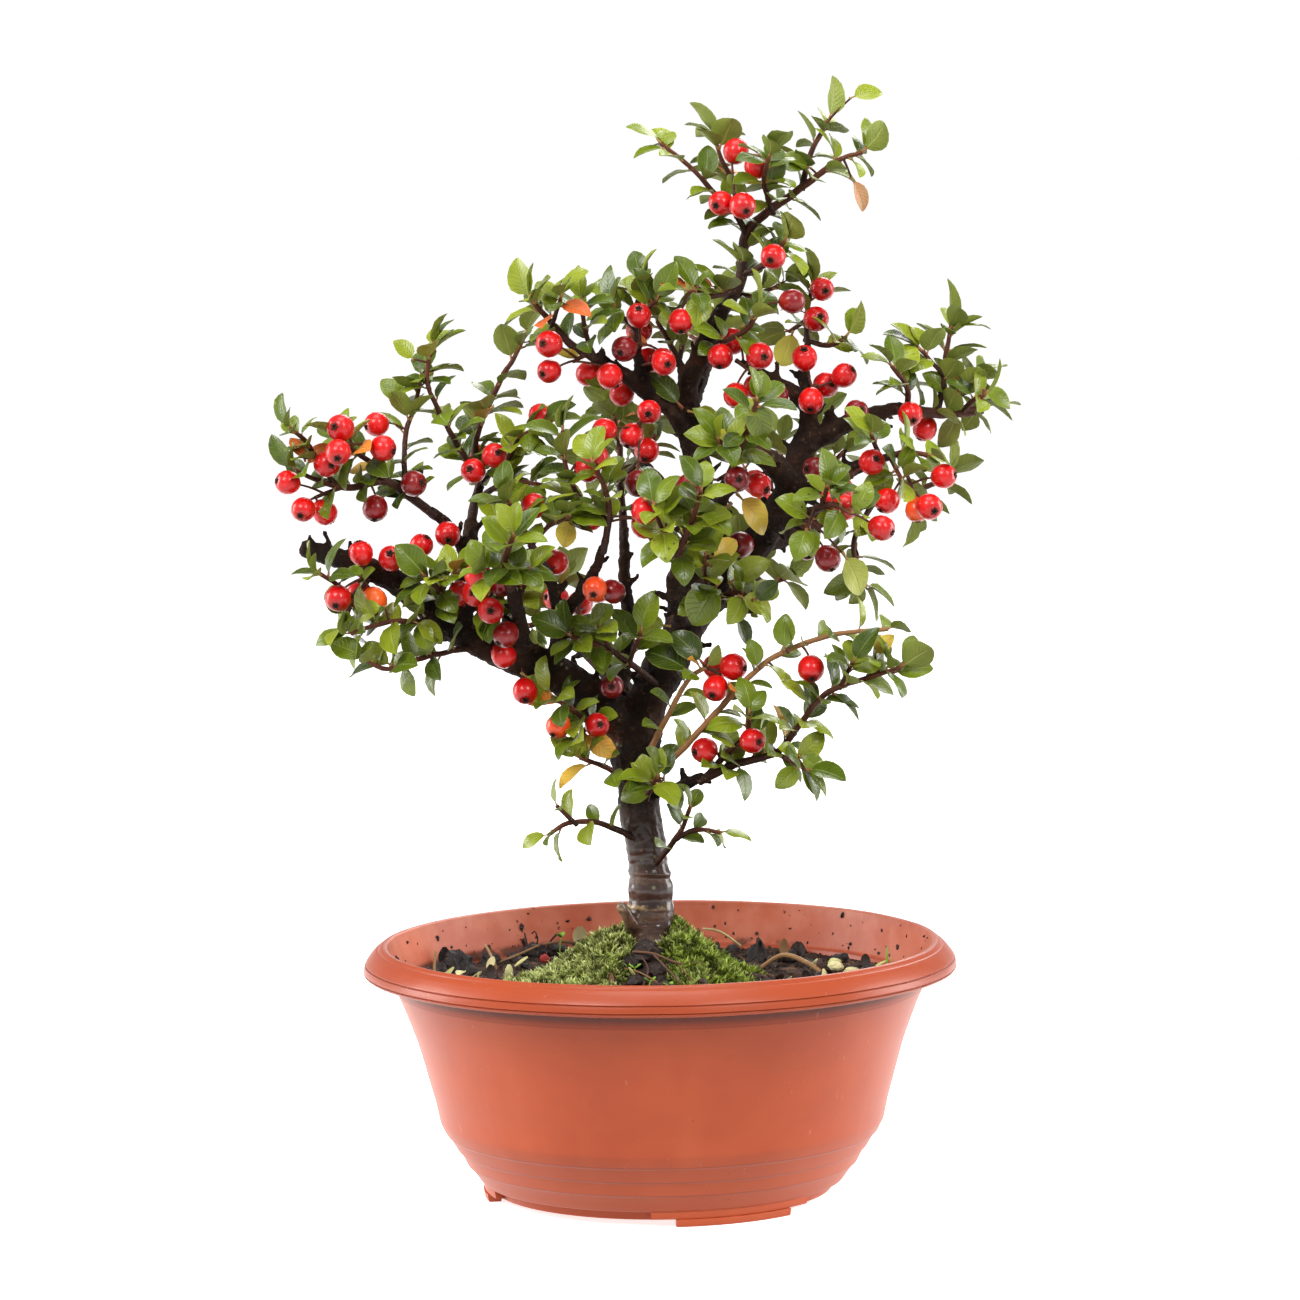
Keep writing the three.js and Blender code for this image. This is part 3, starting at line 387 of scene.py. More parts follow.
boughs = {
    "trunk": [[-3, 62, 0, 10.5], [-3, 77, 0, 10], [-3, 84, 0, 9], [-3, 92, 0, 7.8], [-3, 106, 0, 7],
        [-5, 122, 0, 6.9], [-7, 142, 0, 7.5], [-7, 152, 0, 8], [-6, 161, 0, 8.4]],
    "rootStub": [[-6, 86, -3, 4.2], [-10, 93, -8, 3.8], [-13, 98, -9, 3.2]],
    "leader": [[-6, 155, 0, 7.8], [-1, 171, 0, 7.6], [10, 193, 1, 7.2], [16, 219, 3, 6], [16, 236, 5, 5.3],
        [12, 264, 5, 4.4], [13, 275, 5, 3.9], [24, 298, 5, 2.8]],
    "leftBough": [[-5, 153, 0, 8], [-19, 166, -3, 7.2], [-32, 175, -6, 6.6], [-59, 188, -12, 5.8],
        [-69, 194, -14, 5.4], [-90, 210, -18, 4.4], [-117, 220, -22, 3.2]],
    "leftRiser": [[-64, 192, -13, 3.8], [-64, 205, -10, 3.3], [-62, 217, -6, 3], [-61, 228, 0, 2.6]],
    "leftUpper": [[-63, 217, -6, 2.5], [-69, 227, -8, 2.2], [-75, 232, -10, 2]],
    "middleArm": [[-34, 175, -7, 3.4], [-33, 186, -12, 2.9], [-32, 195, -18, 2.6], [-34, 205, -24, 2.1],
        [-36, 212, -28, 1.7]],
    "middleFork": [[-32, 194, -17, 2.5], [-26, 202, -24, 2.2], [-21, 209, -30, 2], [-17, 219, -36, 1.7]],
    "upright": [[-14, 163, 4, 3.8], [-11, 179, 12, 3], [-9, 193, 16, 2.6], [-10, 208, 20, 2.3],
        [-10, 225, 22, 1.9]],
    "upperLeft": [[13, 254, 5, 4], [7, 264, 2, 3.5], [-1, 270, -2, 3.1], [-10, 277, -7, 2.6],
        [-19, 282, -11, 2.1]],
    "upperStub": [[-3, 271, -3, 2.4], [-4, 279, -3, 2], [-5, 286, -2, 1.6]],
    "yTwig": [[12, 264, 5, 2.6], [11, 272, 7, 2.1], [10, 279, 8, 1.7]],
    "rightLimb": [[10, 193, 1, 6.8], [19, 203, -3, 6.4], [28, 213, -6, 6.2], [37, 223, -9, 5.8],
        [44, 234, -10, 5.4], [48, 244, -9, 5], [51, 254, -8, 4.4]],
    "cutStub": [[46, 239, -10, 4.6], [40, 246, -17, 4.2], [35, 250, -23, 3.8]],
    "rightArm": [[50, 252, -8, 4.4], [58, 256, -10, 3.8], [65, 259, -12, 3.1], [73, 262, -10, 2.6],
        [83, 264, -6, 2.3]],
    "rightMiddle": [[44, 234, -10, 4.2], [56, 238, -18, 3.4], [64, 243, -24, 2.8], [74, 246, -28, 2.1]],
    "rightLow": [[34, 219, -7, 4.4], [45, 222, 4, 3.6], [58, 228, 14, 2.8], [72, 233, 24, 2.1]],
    "upperRight": [[51, 253, -8, 3.8], [52, 263, -7, 3.1], [48, 269, -8, 2.6], [41, 274, -10, 2],
        [30, 280, -12, 1.4]],
    "rightUpright": [[52, 262, -6, 2.8], [51, 274, 2, 2.1], [52, 285, 8, 1.6]],
    "lowRight": [[-4, 136, -1, 2.8], [5, 137, -11, 2.2], [15, 141, -18, 1.9]],
    "backUpper": [[16, 214, 3, 4.6], [12, 225, 18, 3.8], [5, 236, 34, 3.1], [-3, 246, 48, 2.4]],
    "backRight": [[20, 204, -2, 4.8], [29, 214, 14, 4], [38, 227, 32, 3.3], [46, 240, 48, 2.4]],
    "backLeft": [[-5, 160, 2, 5.2], [-13, 173, 18, 4.2], [-21, 183, 34, 3.4], [-31, 194, 50, 2.5]],
    "backLow": [[5, 184, 1, 4.8], [12, 190, 20, 3.7], [20, 199, 38, 2.9], [29, 208, 52, 2.1]],
    "backTop": [[12, 263, 5, 3.2], [16, 273, 24, 2.5], [20, 283, 40, 1.9]],
    "frontLow": [[10, 193, 0, 3.8], [7, 199, -18, 3], [6, 209, -34, 2.2]],
    "frontMiddle": [[16, 221, 4, 3.6], [21, 230, -16, 2.8], [25, 241, -34, 2.1]],
    "frontLeft": [[-45, 183, -9, 3.6], [-45, 193, -28, 2.8], [-48, 205, -44, 2.1]],
    "frontRight": [[38, 225, -9, 3.4], [46, 227, -30, 2.6], [53, 230, -46, 2]],
}


# Shoots: the fine twigs of each leafy end, with the twig that carries the others first

shoots = {
    "left_bough_end": [
        [[-94, 211, -19, 1.3], [-101, 203, -27, 1.1], [-104, 194, -34, 0.9]],
        [[-101, 203, -27, 1], [-107, 208, -34, 0.9], [-113, 212, -38, 0.8]],
    ],
    "left_bough_under": [[[-75, 200, -16, 1.3], [-77, 195, -26, 1.1], [-89, 195, -33, 1],
        [-102, 191, -38, 0.8]]],
    "left_long_twig": [[[-59, 186, -14, 1.4], [-72, 184, -24, 1.1], [-80, 182, -30, 1],
        [-90, 179, -36, 0.9], [-97, 182, -38, 0.8]]],
    "far_left": [
        [[-74, 231, -10, 1.9], [-82, 237, -13, 1.8], [-90, 242, -16, 1.6], [-103, 240, -20, 1.3],
         [-113, 243, -24, 1], [-119, 246, -26, 0.8]],
        [[-106, 241, -21, 1.1], [-112, 249, -25, 1], [-116, 256, -28, 0.9], [-121, 260, -30, 0.8]],
        [[-90, 242, -16, 1.2], [-94, 248, -22, 1.1], [-101, 253, -27, 0.9], [-105, 257, -30, 0.8]],
        [[-83, 238, -13, 1.2], [-83, 249, -10, 1.1], [-82, 259, -8, 1], [-79, 267, -6, 0.9],
         [-77, 276, -5, 0.8]],
    ],
    "left_tall": [
        [[-61, 227, 0, 2.2], [-60, 233, 2, 2], [-58, 241, 5, 1.7], [-59, 255, 8, 1.3], [-51, 274, 12, 1.1],
         [-46, 282, 14, 0.9], [-42, 290, 15, 0.8]],
        [[-58, 240, 4, 1.4], [-62, 248, -2, 1.2], [-68, 259, -7, 1.1], [-72, 267, -9, 1],
         [-75, 276, -10, 0.9], [-73, 287, -10, 0.8]],
        [[-57, 242, 5, 1.3], [-48, 250, -4, 1.1], [-44, 256, -8, 0.9], [-37, 260, -12, 0.8]],
        [[-59, 235, 3, 1.3], [-49, 241, -6, 1.1], [-37, 240, -14, 0.8]],
    ],
    "bough_cluster": [
        [[-69, 197, -16, 1.3], [-72, 205, -25, 1.1], [-77, 210, -31, 0.9]],
        [[-72, 205, -25, 1], [-66, 211, -30, 0.8]],
    ],
    "bough_inner": [
        [[-50, 187, -12, 1.3], [-50, 198, -19, 1.1], [-45, 205, -23, 1], [-50, 213, -27, 0.8]],
        [[-50, 198, -19, 1], [-56, 200, -27, 0.8]],
    ],
    "middle_arm_end": [
        [[-36, 212, -28, 1.5], [-41, 220, -32, 1.3], [-45, 228, -36, 1], [-49, 236, -38, 0.8]],
        [[-41, 220, -32, 1], [-35, 226, -38, 0.9], [-29, 229, -42, 0.8]],
    ],
    "middle_fork_end": [
        [[-17, 218, -36, 1.5], [-15, 229, -40, 1.3], [-16, 238, -43, 1], [-20, 247, -45, 0.8]],
        [[-16, 228, -39, 1.1], [-24, 235, -36, 1], [-29, 245, -32, 0.9], [-30, 258, -29, 0.8]],
    ],
    "upright_end": [
        [[-10, 224, 22, 1.7], [-11, 241, 24, 1.4], [-11, 253, 25, 1.1], [-13, 264, 26, 0.8]],
        [[-11, 241, 24, 1.1], [-3, 249, 17, 1], [1, 256, 12, 0.8]],
    ],
    "fork_left": [
        [[-17, 163, -5, 1.4], [-22, 160, -12, 1.2], [-28, 164, -17, 1], [-35, 169, -21, 0.8]],
        [[-22, 160, -12, 1], [-26, 155, -18, 0.8]],
    ],
    "trunk_left_twig": [[[-8, 138, -4, 1.3], [-16, 144, -12, 1.1], [-26, 148, -18, 0.8]]],
    "lowest_left_twig": [
        [[-7, 120, -4, 1.4], [-20, 126, -10, 1.1], [-30, 126, -14, 1], [-37, 122, -16, 0.8]],
        [[-28, 126, -14, 1], [-34, 132, -16, 0.8]],
    ],
    "leader_left": [
        [[0, 173, -6, 1.4], [-15, 184, -18, 1.2], [-28, 189, -25, 0.8]],
        [[-15, 184, -18, 1], [-19, 192, -28, 0.8]],
        [[-9, 179, -13, 1], [-5, 190, -22, 0.8]],
    ],
    "front_low_end": [
        [[6, 209, -34, 1.8], [9, 218, -46, 1.4], [13, 228, -56, 1.1], [16, 237, -62, 0.8]],
        [[9, 218, -46, 1.1], [3, 224, -54, 0.9], [0, 232, -58, 0.8]],
    ],
    "front_middle_end": [
        [[25, 241, -34, 1.8], [29, 251, -45, 1.4], [32, 259, -53, 1.1], [35, 267, -58, 0.8]],
        [[28, 249, -43, 1.1], [22, 254, -52, 0.8]],
    ],
    "limb_front": [
        [[17, 199, -9, 1.5], [20, 201, -20, 1.3], [28, 203, -27, 1], [33, 200, -31, 0.8]],
        [[20, 201, -20, 1.1], [17, 208, -30, 0.9], [17, 215, -35, 0.8]],
    ],
    "upper_left_end": [
        [[-19, 282, -11, 1.9], [-27, 287, -14, 1.6], [-34, 295, -17, 1.2], [-40, 302, -20, 0.8]],
        [[-19, 282, -11, 1.2], [-22, 291, -16, 1], [-23, 301, -19, 0.8]],
        [[-33, 293, -17, 1], [-30, 302, -24, 0.8]],
    ],
    "upper_stub_end": [
        [[-5, 286, -2, 1.4], [-5, 296, -2, 1.1], [-3, 307, -3, 0.8]],
        [[-5, 291, -2, 1], [-12, 299, -8, 0.8]],
        [[-5, 294, -2, 1], [2, 301, -10, 0.8]],
    ],
    "y_twig_end": [
        [[10, 279, 8, 1.5], [6, 287, 10, 1.1], [2, 294, 12, 0.8]],
        [[9, 280, 8, 1.1], [11, 289, 15, 1], [13, 297, 18, 0.8]],
    ],
    "leader_front": [[[17, 284, 0, 1.4], [24, 287, -10, 1.2], [32, 291, -17, 1], [36, 298, -20, 0.8]]],
    "crown_top": [
        [[24, 297, 5, 2.6], [29, 305, 5, 2.4], [31, 313, 5, 2.2], [32, 322, 5, 2], [38, 329, 4, 1.8],
         [50, 337, 2, 1.5], [62, 346, -1, 1.1], [71, 349, -3, 0.8]],
        [[51, 338, 2, 1.3], [53, 347, 6, 1.1], [56, 353, 8, 1], [60, 360, 10, 0.8]],
        [[32, 322, 5, 1.4], [29, 329, 1, 1.2], [22, 336, -1, 1.1], [14, 345, -3, 0.9], [4, 353, -4, 0.8]],
        [[29, 329, 1, 1.1], [28, 339, 7, 1], [24, 348, 11, 0.9], [22, 355, 13, 0.8]],
        [[41, 330, 4, 1.2], [38, 340, -7, 1], [40, 348, -11, 0.8]],
        [[29, 304, 5, 1.3], [20, 302, -6, 1.1], [13, 304, -11, 0.8]],
        [[30, 309, 5, 1.3], [39, 313, -3, 1.1], [45, 320, -8, 0.8]],
        [[28, 302, 5, 1.3], [37, 303, 12, 1], [44, 306, 16, 0.8]],
    ],
    "right_upright_end": [
        [[52, 285, 8, 1.4], [52, 296, 12, 1.1], [54, 305, 13, 0.8]],
        [[52, 287, 9, 1.1], [59, 285, 4, 1], [65, 288, 1, 0.8]],
        [[52, 294, 11, 1], [46, 290, 18, 0.8]],
    ],
    "right_arm_end": [
        [[83, 264, -6, 2.2], [96, 262, 0, 2.1], [110, 263, 8, 1.9]],
        [[95, 263, 0, 1.4], [97, 271, 2, 1.2], [98, 281, 4, 1], [100, 292, 6, 0.8]],
        [[103, 262, 4, 1.3], [107, 266, 0, 1.1], [111, 268, -3, 0.8]],
        [[85, 264, -6, 1.3], [85, 271, -13, 1.1], [80, 278, -18, 0.8]],
        [[99, 263, 1, 1.2], [102, 269, 12, 1], [108, 274, 18, 0.8]],
        [[97, 275, 2, 1], [90, 283, -3, 0.8]],
    ],
    "right_middle_end": [
        [[73, 246, -28, 1.8], [84, 249, -32, 1.3], [92, 248, -36, 0.8]],
        [[79, 248, -30, 1.1], [83, 240, -38, 0.8]],
        [[76, 247, -29, 1.1], [73, 255, -38, 0.8]],
    ],
    "right_low_end": [
        [[72, 232, 24, 1.8], [90, 237, 34, 1.2], [98, 241, 38, 0.8]],
        [[74, 233, 25, 1.2], [68, 223, 20, 1.1], [67, 215, 16, 1], [70, 205, 14, 0.8]],
        [[84, 236, 31, 1], [88, 229, 40, 0.8]],
    ],
    "tan_twig": [[[-4, 141, -6, 1.5], [8, 150, -17, 1.3], [23, 166, -25, 1.2], [38, 180, -31, 1.1],
        [58, 188, -37, 1], [78, 190, -41, 0.8]]],
    "lower_right": [
        [[15, 140, -18, 1.8], [26, 145, -24, 1.6], [40, 149, -30, 1.4], [47, 157, -34, 1.2],
         [55, 167, -38, 1.2], [62, 171, -40, 1.1], [72, 174, -42, 1], [82, 177, -44, 0.8]],
        [[16, 141, -18, 1.3], [22, 147, -25, 1.2], [30, 155, -31, 1], [31, 162, -35, 0.8]],
        [[40, 149, -30, 1.1], [45, 146, -36, 1], [50, 143, -39, 0.8]],
        [[62, 171, -40, 1], [66, 179, -46, 0.8]],
    ],
    "trunk_front": [[[-4, 133, -5, 1.4], [-3, 136, -14, 1.2], [0, 141, -20, 0.8]]],
    "thin_twig": [[[-2, 151, -8, 1.3], [5, 164, -16, 1.1], [11, 174, -20, 1], [17, 178, -22, 0.8]]],
    "low_right_twig": [
        [[-2, 111, -4, 1.4], [3, 116, -10, 1.2], [8, 124, -15, 1], [11, 131, -20, 0.8]],
        [[6, 120, -13, 1.1], [12, 123, -16, 1], [21, 122, -18, 0.8]],
    ],
    "back_upper_end": [
        [[-3, 246, 48, 2], [-9, 258, 60, 1.5], [-13, 267, 67, 0.9]],
        [[-6, 253, 55, 1.2], [0, 262, 66, 0.8]],
        [[-4, 249, 51, 1.3], [-13, 245, 58, 1.1], [-20, 247, 62, 0.8]],
    ],
    "back_right_end": [
        [[46, 240, 48, 2], [52, 254, 60, 1.4], [55, 264, 67, 0.9]],
        [[48, 246, 53, 1.2], [41, 255, 66, 0.8]],
        [[48, 244, 52, 1.3], [57, 244, 57, 1.1], [64, 250, 61, 0.8]],
    ],
    "back_left_end": [
        [[-31, 194, 50, 2], [-39, 205, 62, 1.4], [-46, 214, 69, 0.9]],
        [[-36, 200, 57, 1.2], [-30, 208, 68, 0.8]],
        [[-34, 197, 54, 1.3], [-42, 193, 59, 1.1], [-50, 196, 62, 0.8]],
    ],
    "back_low_end": [
        [[29, 208, 52, 1.8], [36, 218, 62, 1.2], [40, 227, 68, 0.9]],
        [[32, 211, 56, 1.1], [28, 221, 66, 0.8]],
        [[31, 210, 55, 1.2], [38, 206, 60, 1], [45, 208, 63, 0.8]],
    ],
    "back_top_end": [
        [[20, 282, 40, 1.7], [22, 292, 50, 1.3], [24, 301, 58, 0.9]],
        [[21, 287, 44, 1.1], [30, 291, 54, 0.8]],
        [[21, 284, 42, 1.1], [13, 289, 52, 0.8]],
    ],
    "front_left_end": [
        [[-48, 205, -44, 1.8], [-50, 214, -56, 1.3], [-47, 223, -63, 0.8]],
        [[-49, 209, -49, 1.1], [-42, 212, -58, 0.8]],
        [[-48, 207, -46, 1.1], [-56, 211, -56, 0.8]],
    ],
    "front_right_end": [
        [[53, 230, -46, 1.7], [60, 232, -56, 1.2], [66, 229, -62, 0.8]],
        [[56, 231, -50, 1.1], [58, 238, -60, 0.8]],
        [[54, 231, -48, 1.1], [51, 224, -56, 0.8]],
    ],
}


# Berries in bunches, with the place on the wood or twig where each bunch grows

bunches = {
    "far_left": {"from": [-104, 240, -20], "berries": [
        [-122, 242, -30], [-117, 233, -30], [-110, 232, -26]]},
    "far_left_upper": {"from": [-101, 253, -27], "berries": [
        [-104, 260, -34], [-105, 252, -36], [-90, 253, -30]]},
    "left_bough_end": {"from": [-97, 211, -19], "berries": [
        [-106, 203, -38], [-94, 202, -28], [-98, 218, -27]]},
    "left_tall": {"from": [-59, 239, 4], "berries": [[-60, 245, -10], [-53, 250, -9]]},
    "bough": {"from": [-62, 191, -14], "berries": [
        [-59, 214, -26], [-60, 204, -34], [-55, 198, -36], [-51, 207, -34], [-51, 183, -22]]},
    "upper_left": {"from": [-22, 283, -12], "berries": [[-34, 287, -26], [-34, 278, -22], [-14, 276, -16]]},
    "upper_stub": {"from": [-4, 285, -2], "berries": [[-4, 296, -12], [-9, 285, -14], [4, 281, -6]]},
    "middle": {"from": [1, 268, -2], "berries": [
        [-1, 264, -16], [-7, 256, -12], [-5, 240, -24], [-16, 258, -18]]},
    "top": {"from": [29, 330, 1], "berries": [[24, 333, -10], [31, 332, -12], [29, 350, 4]]},
    "leader": {"from": [29, 280, -12], "berries": [
        [27, 287, -8], [36, 282, -20], [41, 269, -20], [28, 269, -12]]},
    "right_upper": {"from": [52, 266, -6], "berries": [[51, 281, -10], [64, 275, -12], [53, 267, -16]]},
    "centre_right": {"from": [26, 243, -36], "berries": [[28, 241, -48], [12, 239, -42]]},
    "right_middle": {"from": [66, 244, -25], "berries": [[73, 246, -38], [60, 234, -38]]},
    "right_end": {"from": [82, 248, -31], "berries": [[78, 233, -38], [88, 230, -36], [97, 241, -42]]},
    "thin_twig": {"from": [17, 178, -21], "berries": [[26, 178, -26], [20, 171, -28]]},
    "low_right": {"from": [18, 142, -19], "berries": [[16, 150, -27], [32, 153, -36]]},
    "back_left": {"from": [-25, 190, 42], "berries": [[-33, 202, 46], [-25, 200, 56], [-19, 204, 47]]},
    "back_right": {"from": [42, 235, 43], "berries": [[40, 246, 42], [34, 240, 52], [38, 232, 36]]},
}


# Bowl

bowl = {
    "segments": 200,
    "outside": [  # radius, height, rounding of the corner
        (52.6, 2.0, 0.2), (57.1, 2.0, 0.4), (57.4, 5.1, 0.3), (61.0, 5.3, 0.6), (63.3, 8.6, 0.8),
        (65.2, 11.0, 0.5), (66.0, 11.5, 0.3), (68.2, 16.0, 0.6), (69.2, 16.6, 0.3), (72.0, 21.3, 0.6),
        (73.0, 22.0, 0.3), (75.0, 26.0, 0.8), (76.3, 32.5, 1.5), (78.1, 39.0, 1.5), (79.7, 45.0, 1.5),
        (81.8, 52.5, 1.5), (84.3, 59.5, 1.5), (87.0, 66.5, 1.5), (88.8, 70.5, 0.6), (89.7, 74.8, 0.5),
        (90.9, 76.4, 0.5), (97.4, 75.7, 0.7), (99.4, 76.3, 0.4), (99.8, 77.0, 0.1), (99.35, 77.2, 0.08),
        (99.85, 77.55, 0.15), (99.35, 79.5, 0.1), (98.8, 79.7, 0.08), (99.1, 80.05, 0.15), (98.2, 81.4, 0.9),
        (96.6, 83.3, 0.9), (95.4, 84.3, 0.2), (94.9, 84.35, 0.15), (94.5, 84.95, 0.3), (93.5, 85.75, 0.6),
    ],
    "inside": [
        (91.7, 85.4, 0.6), (88.1, 72.2, 0.4), (86.8, 71.2, 0.4), (79.0, 49.5, 3.0),
        (72.2, 24.0, 3.0), (60.2, 6.4, 1.5), (58.0, 5.2, 0.8), (0.0, 5.2, 0.0), (0.0, 3.2, 0.0),
        (51.6, 3.2, 0.3),
    ],
    "roundSteps": 3,
    "drainRadius": 4.0, "drainCircle": 38.0, "drainCount": 4,
    "footAzimuths": [-66, 54, 174],
    "footSteps": [(20.0, 0.0, 2.6), (28.0, 2.6, 5.6)],  # half angle, lowest, highest
    "footInner": 56.0, "footOuter": 60.3, "footSegments": 18, "footRounding": 0.45,
    "lipDents": 0.12,
    "grooves": [(77.2, 97), (79.65, 97), (73.9, 89), (70.6, 88), (22.0, 71), (16.5, 66), (11.4, 63)],
}


def roundedOutline(points, steps):
    # each corner becomes a short curve that starts and ends its rounding away
    outline = []
    count = len(points)
    for k, (radius, height, rounding) in enumerate(points):
        here = Vector((radius, height))
        before = Vector(points[k - 1][:2]) - here
        after = Vector(points[(k + 1) % count][:2]) - here
        reach = min(rounding, before.length * 0.45, after.length * 0.45)
        if reach < 0.02:
            outline.append(here)
            continue
        start, end = here + before.normalized() * reach, here + after.normalized() * reach
        for j in range(steps + 1):
            t = j / steps
            outline.append(start * (1 - t) ** 2 + here * 2 * t * (1 - t) + end * t * t)
    return outline


def turnedBody(outline, segments):
    # a closed outline turned about the axis; a point on the axis is made once
    corners = []
    faces = []
    rings = []
    for radius, height in outline:
        if radius < 1e-6:
            rings.append([len(corners)] * segments)
            corners.append(Vector((0, 0, height)))
            continue
        rings.append(list(range(len(corners), len(corners) + segments)))
        for k in range(segments):
            turn = k / segments * math.tau
            corners.append(onRing(radius, turn, height))
    for ring, following in zip(rings, rings[1:] + rings[:1]):
        for k in range(segments):
            n = (k + 1) % segments
            face = list(dict.fromkeys([ring[k], ring[n], following[n], following[k]]))
            if len(face) > 2:
                faces.append(face)
    return corners, faces


def footBody(azimuth, halfAngle, lowest, highest):
    # one level of a foot: an arc of wall with a rounded section
    inner, outer, rounding = bowl["footInner"], bowl["footOuter"], bowl["footRounding"]
    section = roundedOutline([
        (outer, lowest, rounding), (outer + (highest - lowest) * 0.16, highest, 0.1),
        (inner, highest, 0.1), (inner, lowest, rounding)], 2)
    corners = []
    for k in range(bowl["footSegments"] + 1):
        turn = math.radians(azimuth - halfAngle + 2 * halfAngle * k / bowl["footSegments"])
        corners.extend([onRing(radius, turn, height) for radius, height in section])
    return corners, ringFaces(bowl["footSegments"] + 1, len(section))


def makeBowl():
    outline = roundedOutline([*bowl["outside"], *bowl["inside"]], bowl["roundSteps"])
    corners, faces = turnedBody(outline, bowl["segments"])
    dent = bowl["lipDents"]
    for corner in corners:  # the lip isn't quite true, as on a thin moulded bowl
        lip = smoothStep(70, 78, corner.z)
        away = Vector((corner.x, corner.y, 0)).normalized()
        corner += away * dent * lip * (lumpy(corner, 0.03) + 0.8 * lumpy(corner, 0.11, 7)) * 1.2
        corner.z += dent * lip * lumpy(corner, 0.05, 3)
    piece = makePiece("bowl", makeMesh("bowl", corners, faces), plasticFinish())
    for k in range(bowl["drainCount"]):
        turn = k / bowl["drainCount"] * math.tau
        middle = Vector((math.cos(turn), math.sin(turn), 0)) * bowl["drainCircle"]
        line = [(middle + upward * height, bowl["drainRadius"]) for height in (-4, 12)]
        cutter = makePiece(f"drainCutter{k}", makeMesh("drainCutter", *tubeBody(line, 24), False))
        modifier = piece.modifiers.new("drain", "BOOLEAN")
        modifier.operation = "DIFFERENCE"
        modifier.object = cutter
    bakeModifiers(piece)
    for cutter in [o for o in bpy.data.objects if o.name.startswith("drainCutter")]:
        bpy.data.objects.remove(cutter)
    levels = [footBody(azimuth, *level) for azimuth in bowl["footAzimuths"] for level in bowl["footSteps"]]
    feet = makeMesh("feet", *joined(levels))
    body = bmesh.new()
    body.from_mesh(piece.data)
    body.from_mesh(feet)
    bmesh.ops.recalc_face_normals(body, faces=body.faces)
    body.to_mesh(piece.data)
    body.free()
    piece.data.set_sharp_from_angle(angle=math.radians(32))
    finishPiece(piece, "bowl_plastic", "pot")


def plasticFinish():
    def build(board):
        spot = board.places()
        height = board.parts(spot, "Z")
        away = (board.parts(spot, "X") ** 2.0 + board.parts(spot, "Y") ** 2.0) ** 0.5
        cloudy = board.cloud(24, 4)
        streaks = board.cloud(50, 3, 0.6, stretch=(1.0, 1.0, 0.1))
        lip = height.step(0.0745, 0.079) * away.step(0.0905, 0.0925)
        past = away - (height - 0.0722) * 0.273 - 0.0881  # how far out of the inner wall's own line
        inside = height.step(0.0712, 0.0724) * past.step(0.0007, 0.0004)
        clay = board.blend(cloudy.step(0.3, 0.72), (168, 70, 36), (182, 80, 44))
        clay = clay.tint((streaks.step(0.5, 0.75) * 0.2, 196, 98, 62), (lip * 0.8, 150, 62, 32))
        # painted shade: the neck right under the lip is darkened, as if in the lip's shadow
        underLipShade = height.step(0.0698, 0.074) * away.step(0.0925, 0.0915) * (1 - inside)
        # lighter towards the bottom of the bowl
        paleBelow = height.step(0.03, 0.012) * (1 - inside) * 0.4
        clay = clay.tint((underLipShade * 0.85, 54, 16, 10), (paleBelow, 206, 96, 58))
        dust = board.cloud(150, 5, 0.7).step(0.6, 0.8) * 0.1
        clay = clay.tint((dust, 206, 132, 100))
        pale = board.cloud(62, 3).step(0.35, 0.7) * 0.22 * inside
        clay = clay.tint((pale + inside * 0.12, 226, 156, 132))
        freckled = board.cells(300).step(0.085, 0.05) * board.cloud(42, 2).step(0.55, 0.63)
        clay = clay.tint((freckled * 0.8, 60, 34, 26))
        splash = board.cells(250).step(0.2, 0.1) * board.cloud(95, 4, 0.65).step(0.56, 0.63) * inside
        clay = clay.tint((splash * 0.9, 52, 34, 26))
        across = board.parts(spot, "X")  # soil lies on the ledge, most of it at the left
        ledge = height.step(0.0742, 0.0722) * height.step(0.0697, 0.0707) * past.step(0.0006, 0.0003)
        tide = ledge * (board.cloud(130, 4) - across * 3).step(0.4, 0.62)
        clay = clay.tint((tide * 0.85, 56, 36, 28))
        lines = lip * 0  # the shade that gathers in the turned grooves
        for level, side in bowl["grooves"]:
            line = abs(height - level * mm).step(0.00034, 0.0001)
            lines = lines + line * away.step(side * mm, (side + 1) * mm)
        clay = clay.tint((lines * 0.34, 86, 26, 14))
        scratches = board.cloud(760, 2, 0.5, stretch=(1.0, 1.0, 0.02)).step(0.72, 0.76)
        clay = clay.tint((scratches * 0.22, 216, 150, 126))
        return {
            "base": clay,
            "roughness": 0.36 - lip * 0.06 + cloudy * 0.08 + dust + splash * 0.4 + tide * 0.3 + inside * 0.12,
            "normal": board.bump(
                board.cloud(900, 2) * 0.25 + board.cloud(210, 3) * 0.5 - scratches * 0.3, 0.05),
        }
    return makeFinish("terracottaPlastic", build, specular=0.34, ior=1.46)


# Soil

soil = {
    "level": 70, "mound": 9.5, "moundReach": 22, "trunkFoot": (-3, 0),
    "wall": [(59.0, 5.5), (71.9, 24.3), (78.7, 49.8), (86.0, 69.8)],  # inside the bowl's wall
    "ringStep": 1.15, "segments": 300, "roughness": 0.9, "crumbsFrom": 64,
    "crumbs": {"Seed": 4, "Density": 0.15, "Least": 0.4, "Most": 2.1},
}


def soilTop(x, y):
    footX, footY = soil["trunkFoot"]
    away = (x - footX) ** 2 + (y - footY) ** 2
    mound = soil["mound"] * math.exp(-away / (2 * soil["moundReach"] ** 2))
    lumps = 1.1 * math.sin(x * 0.21 + 1) * math.cos(y * 0.17) + 0.7 * math.sin(x * 0.09 - y * 0.13)
    return soil["level"] + mound + lumps


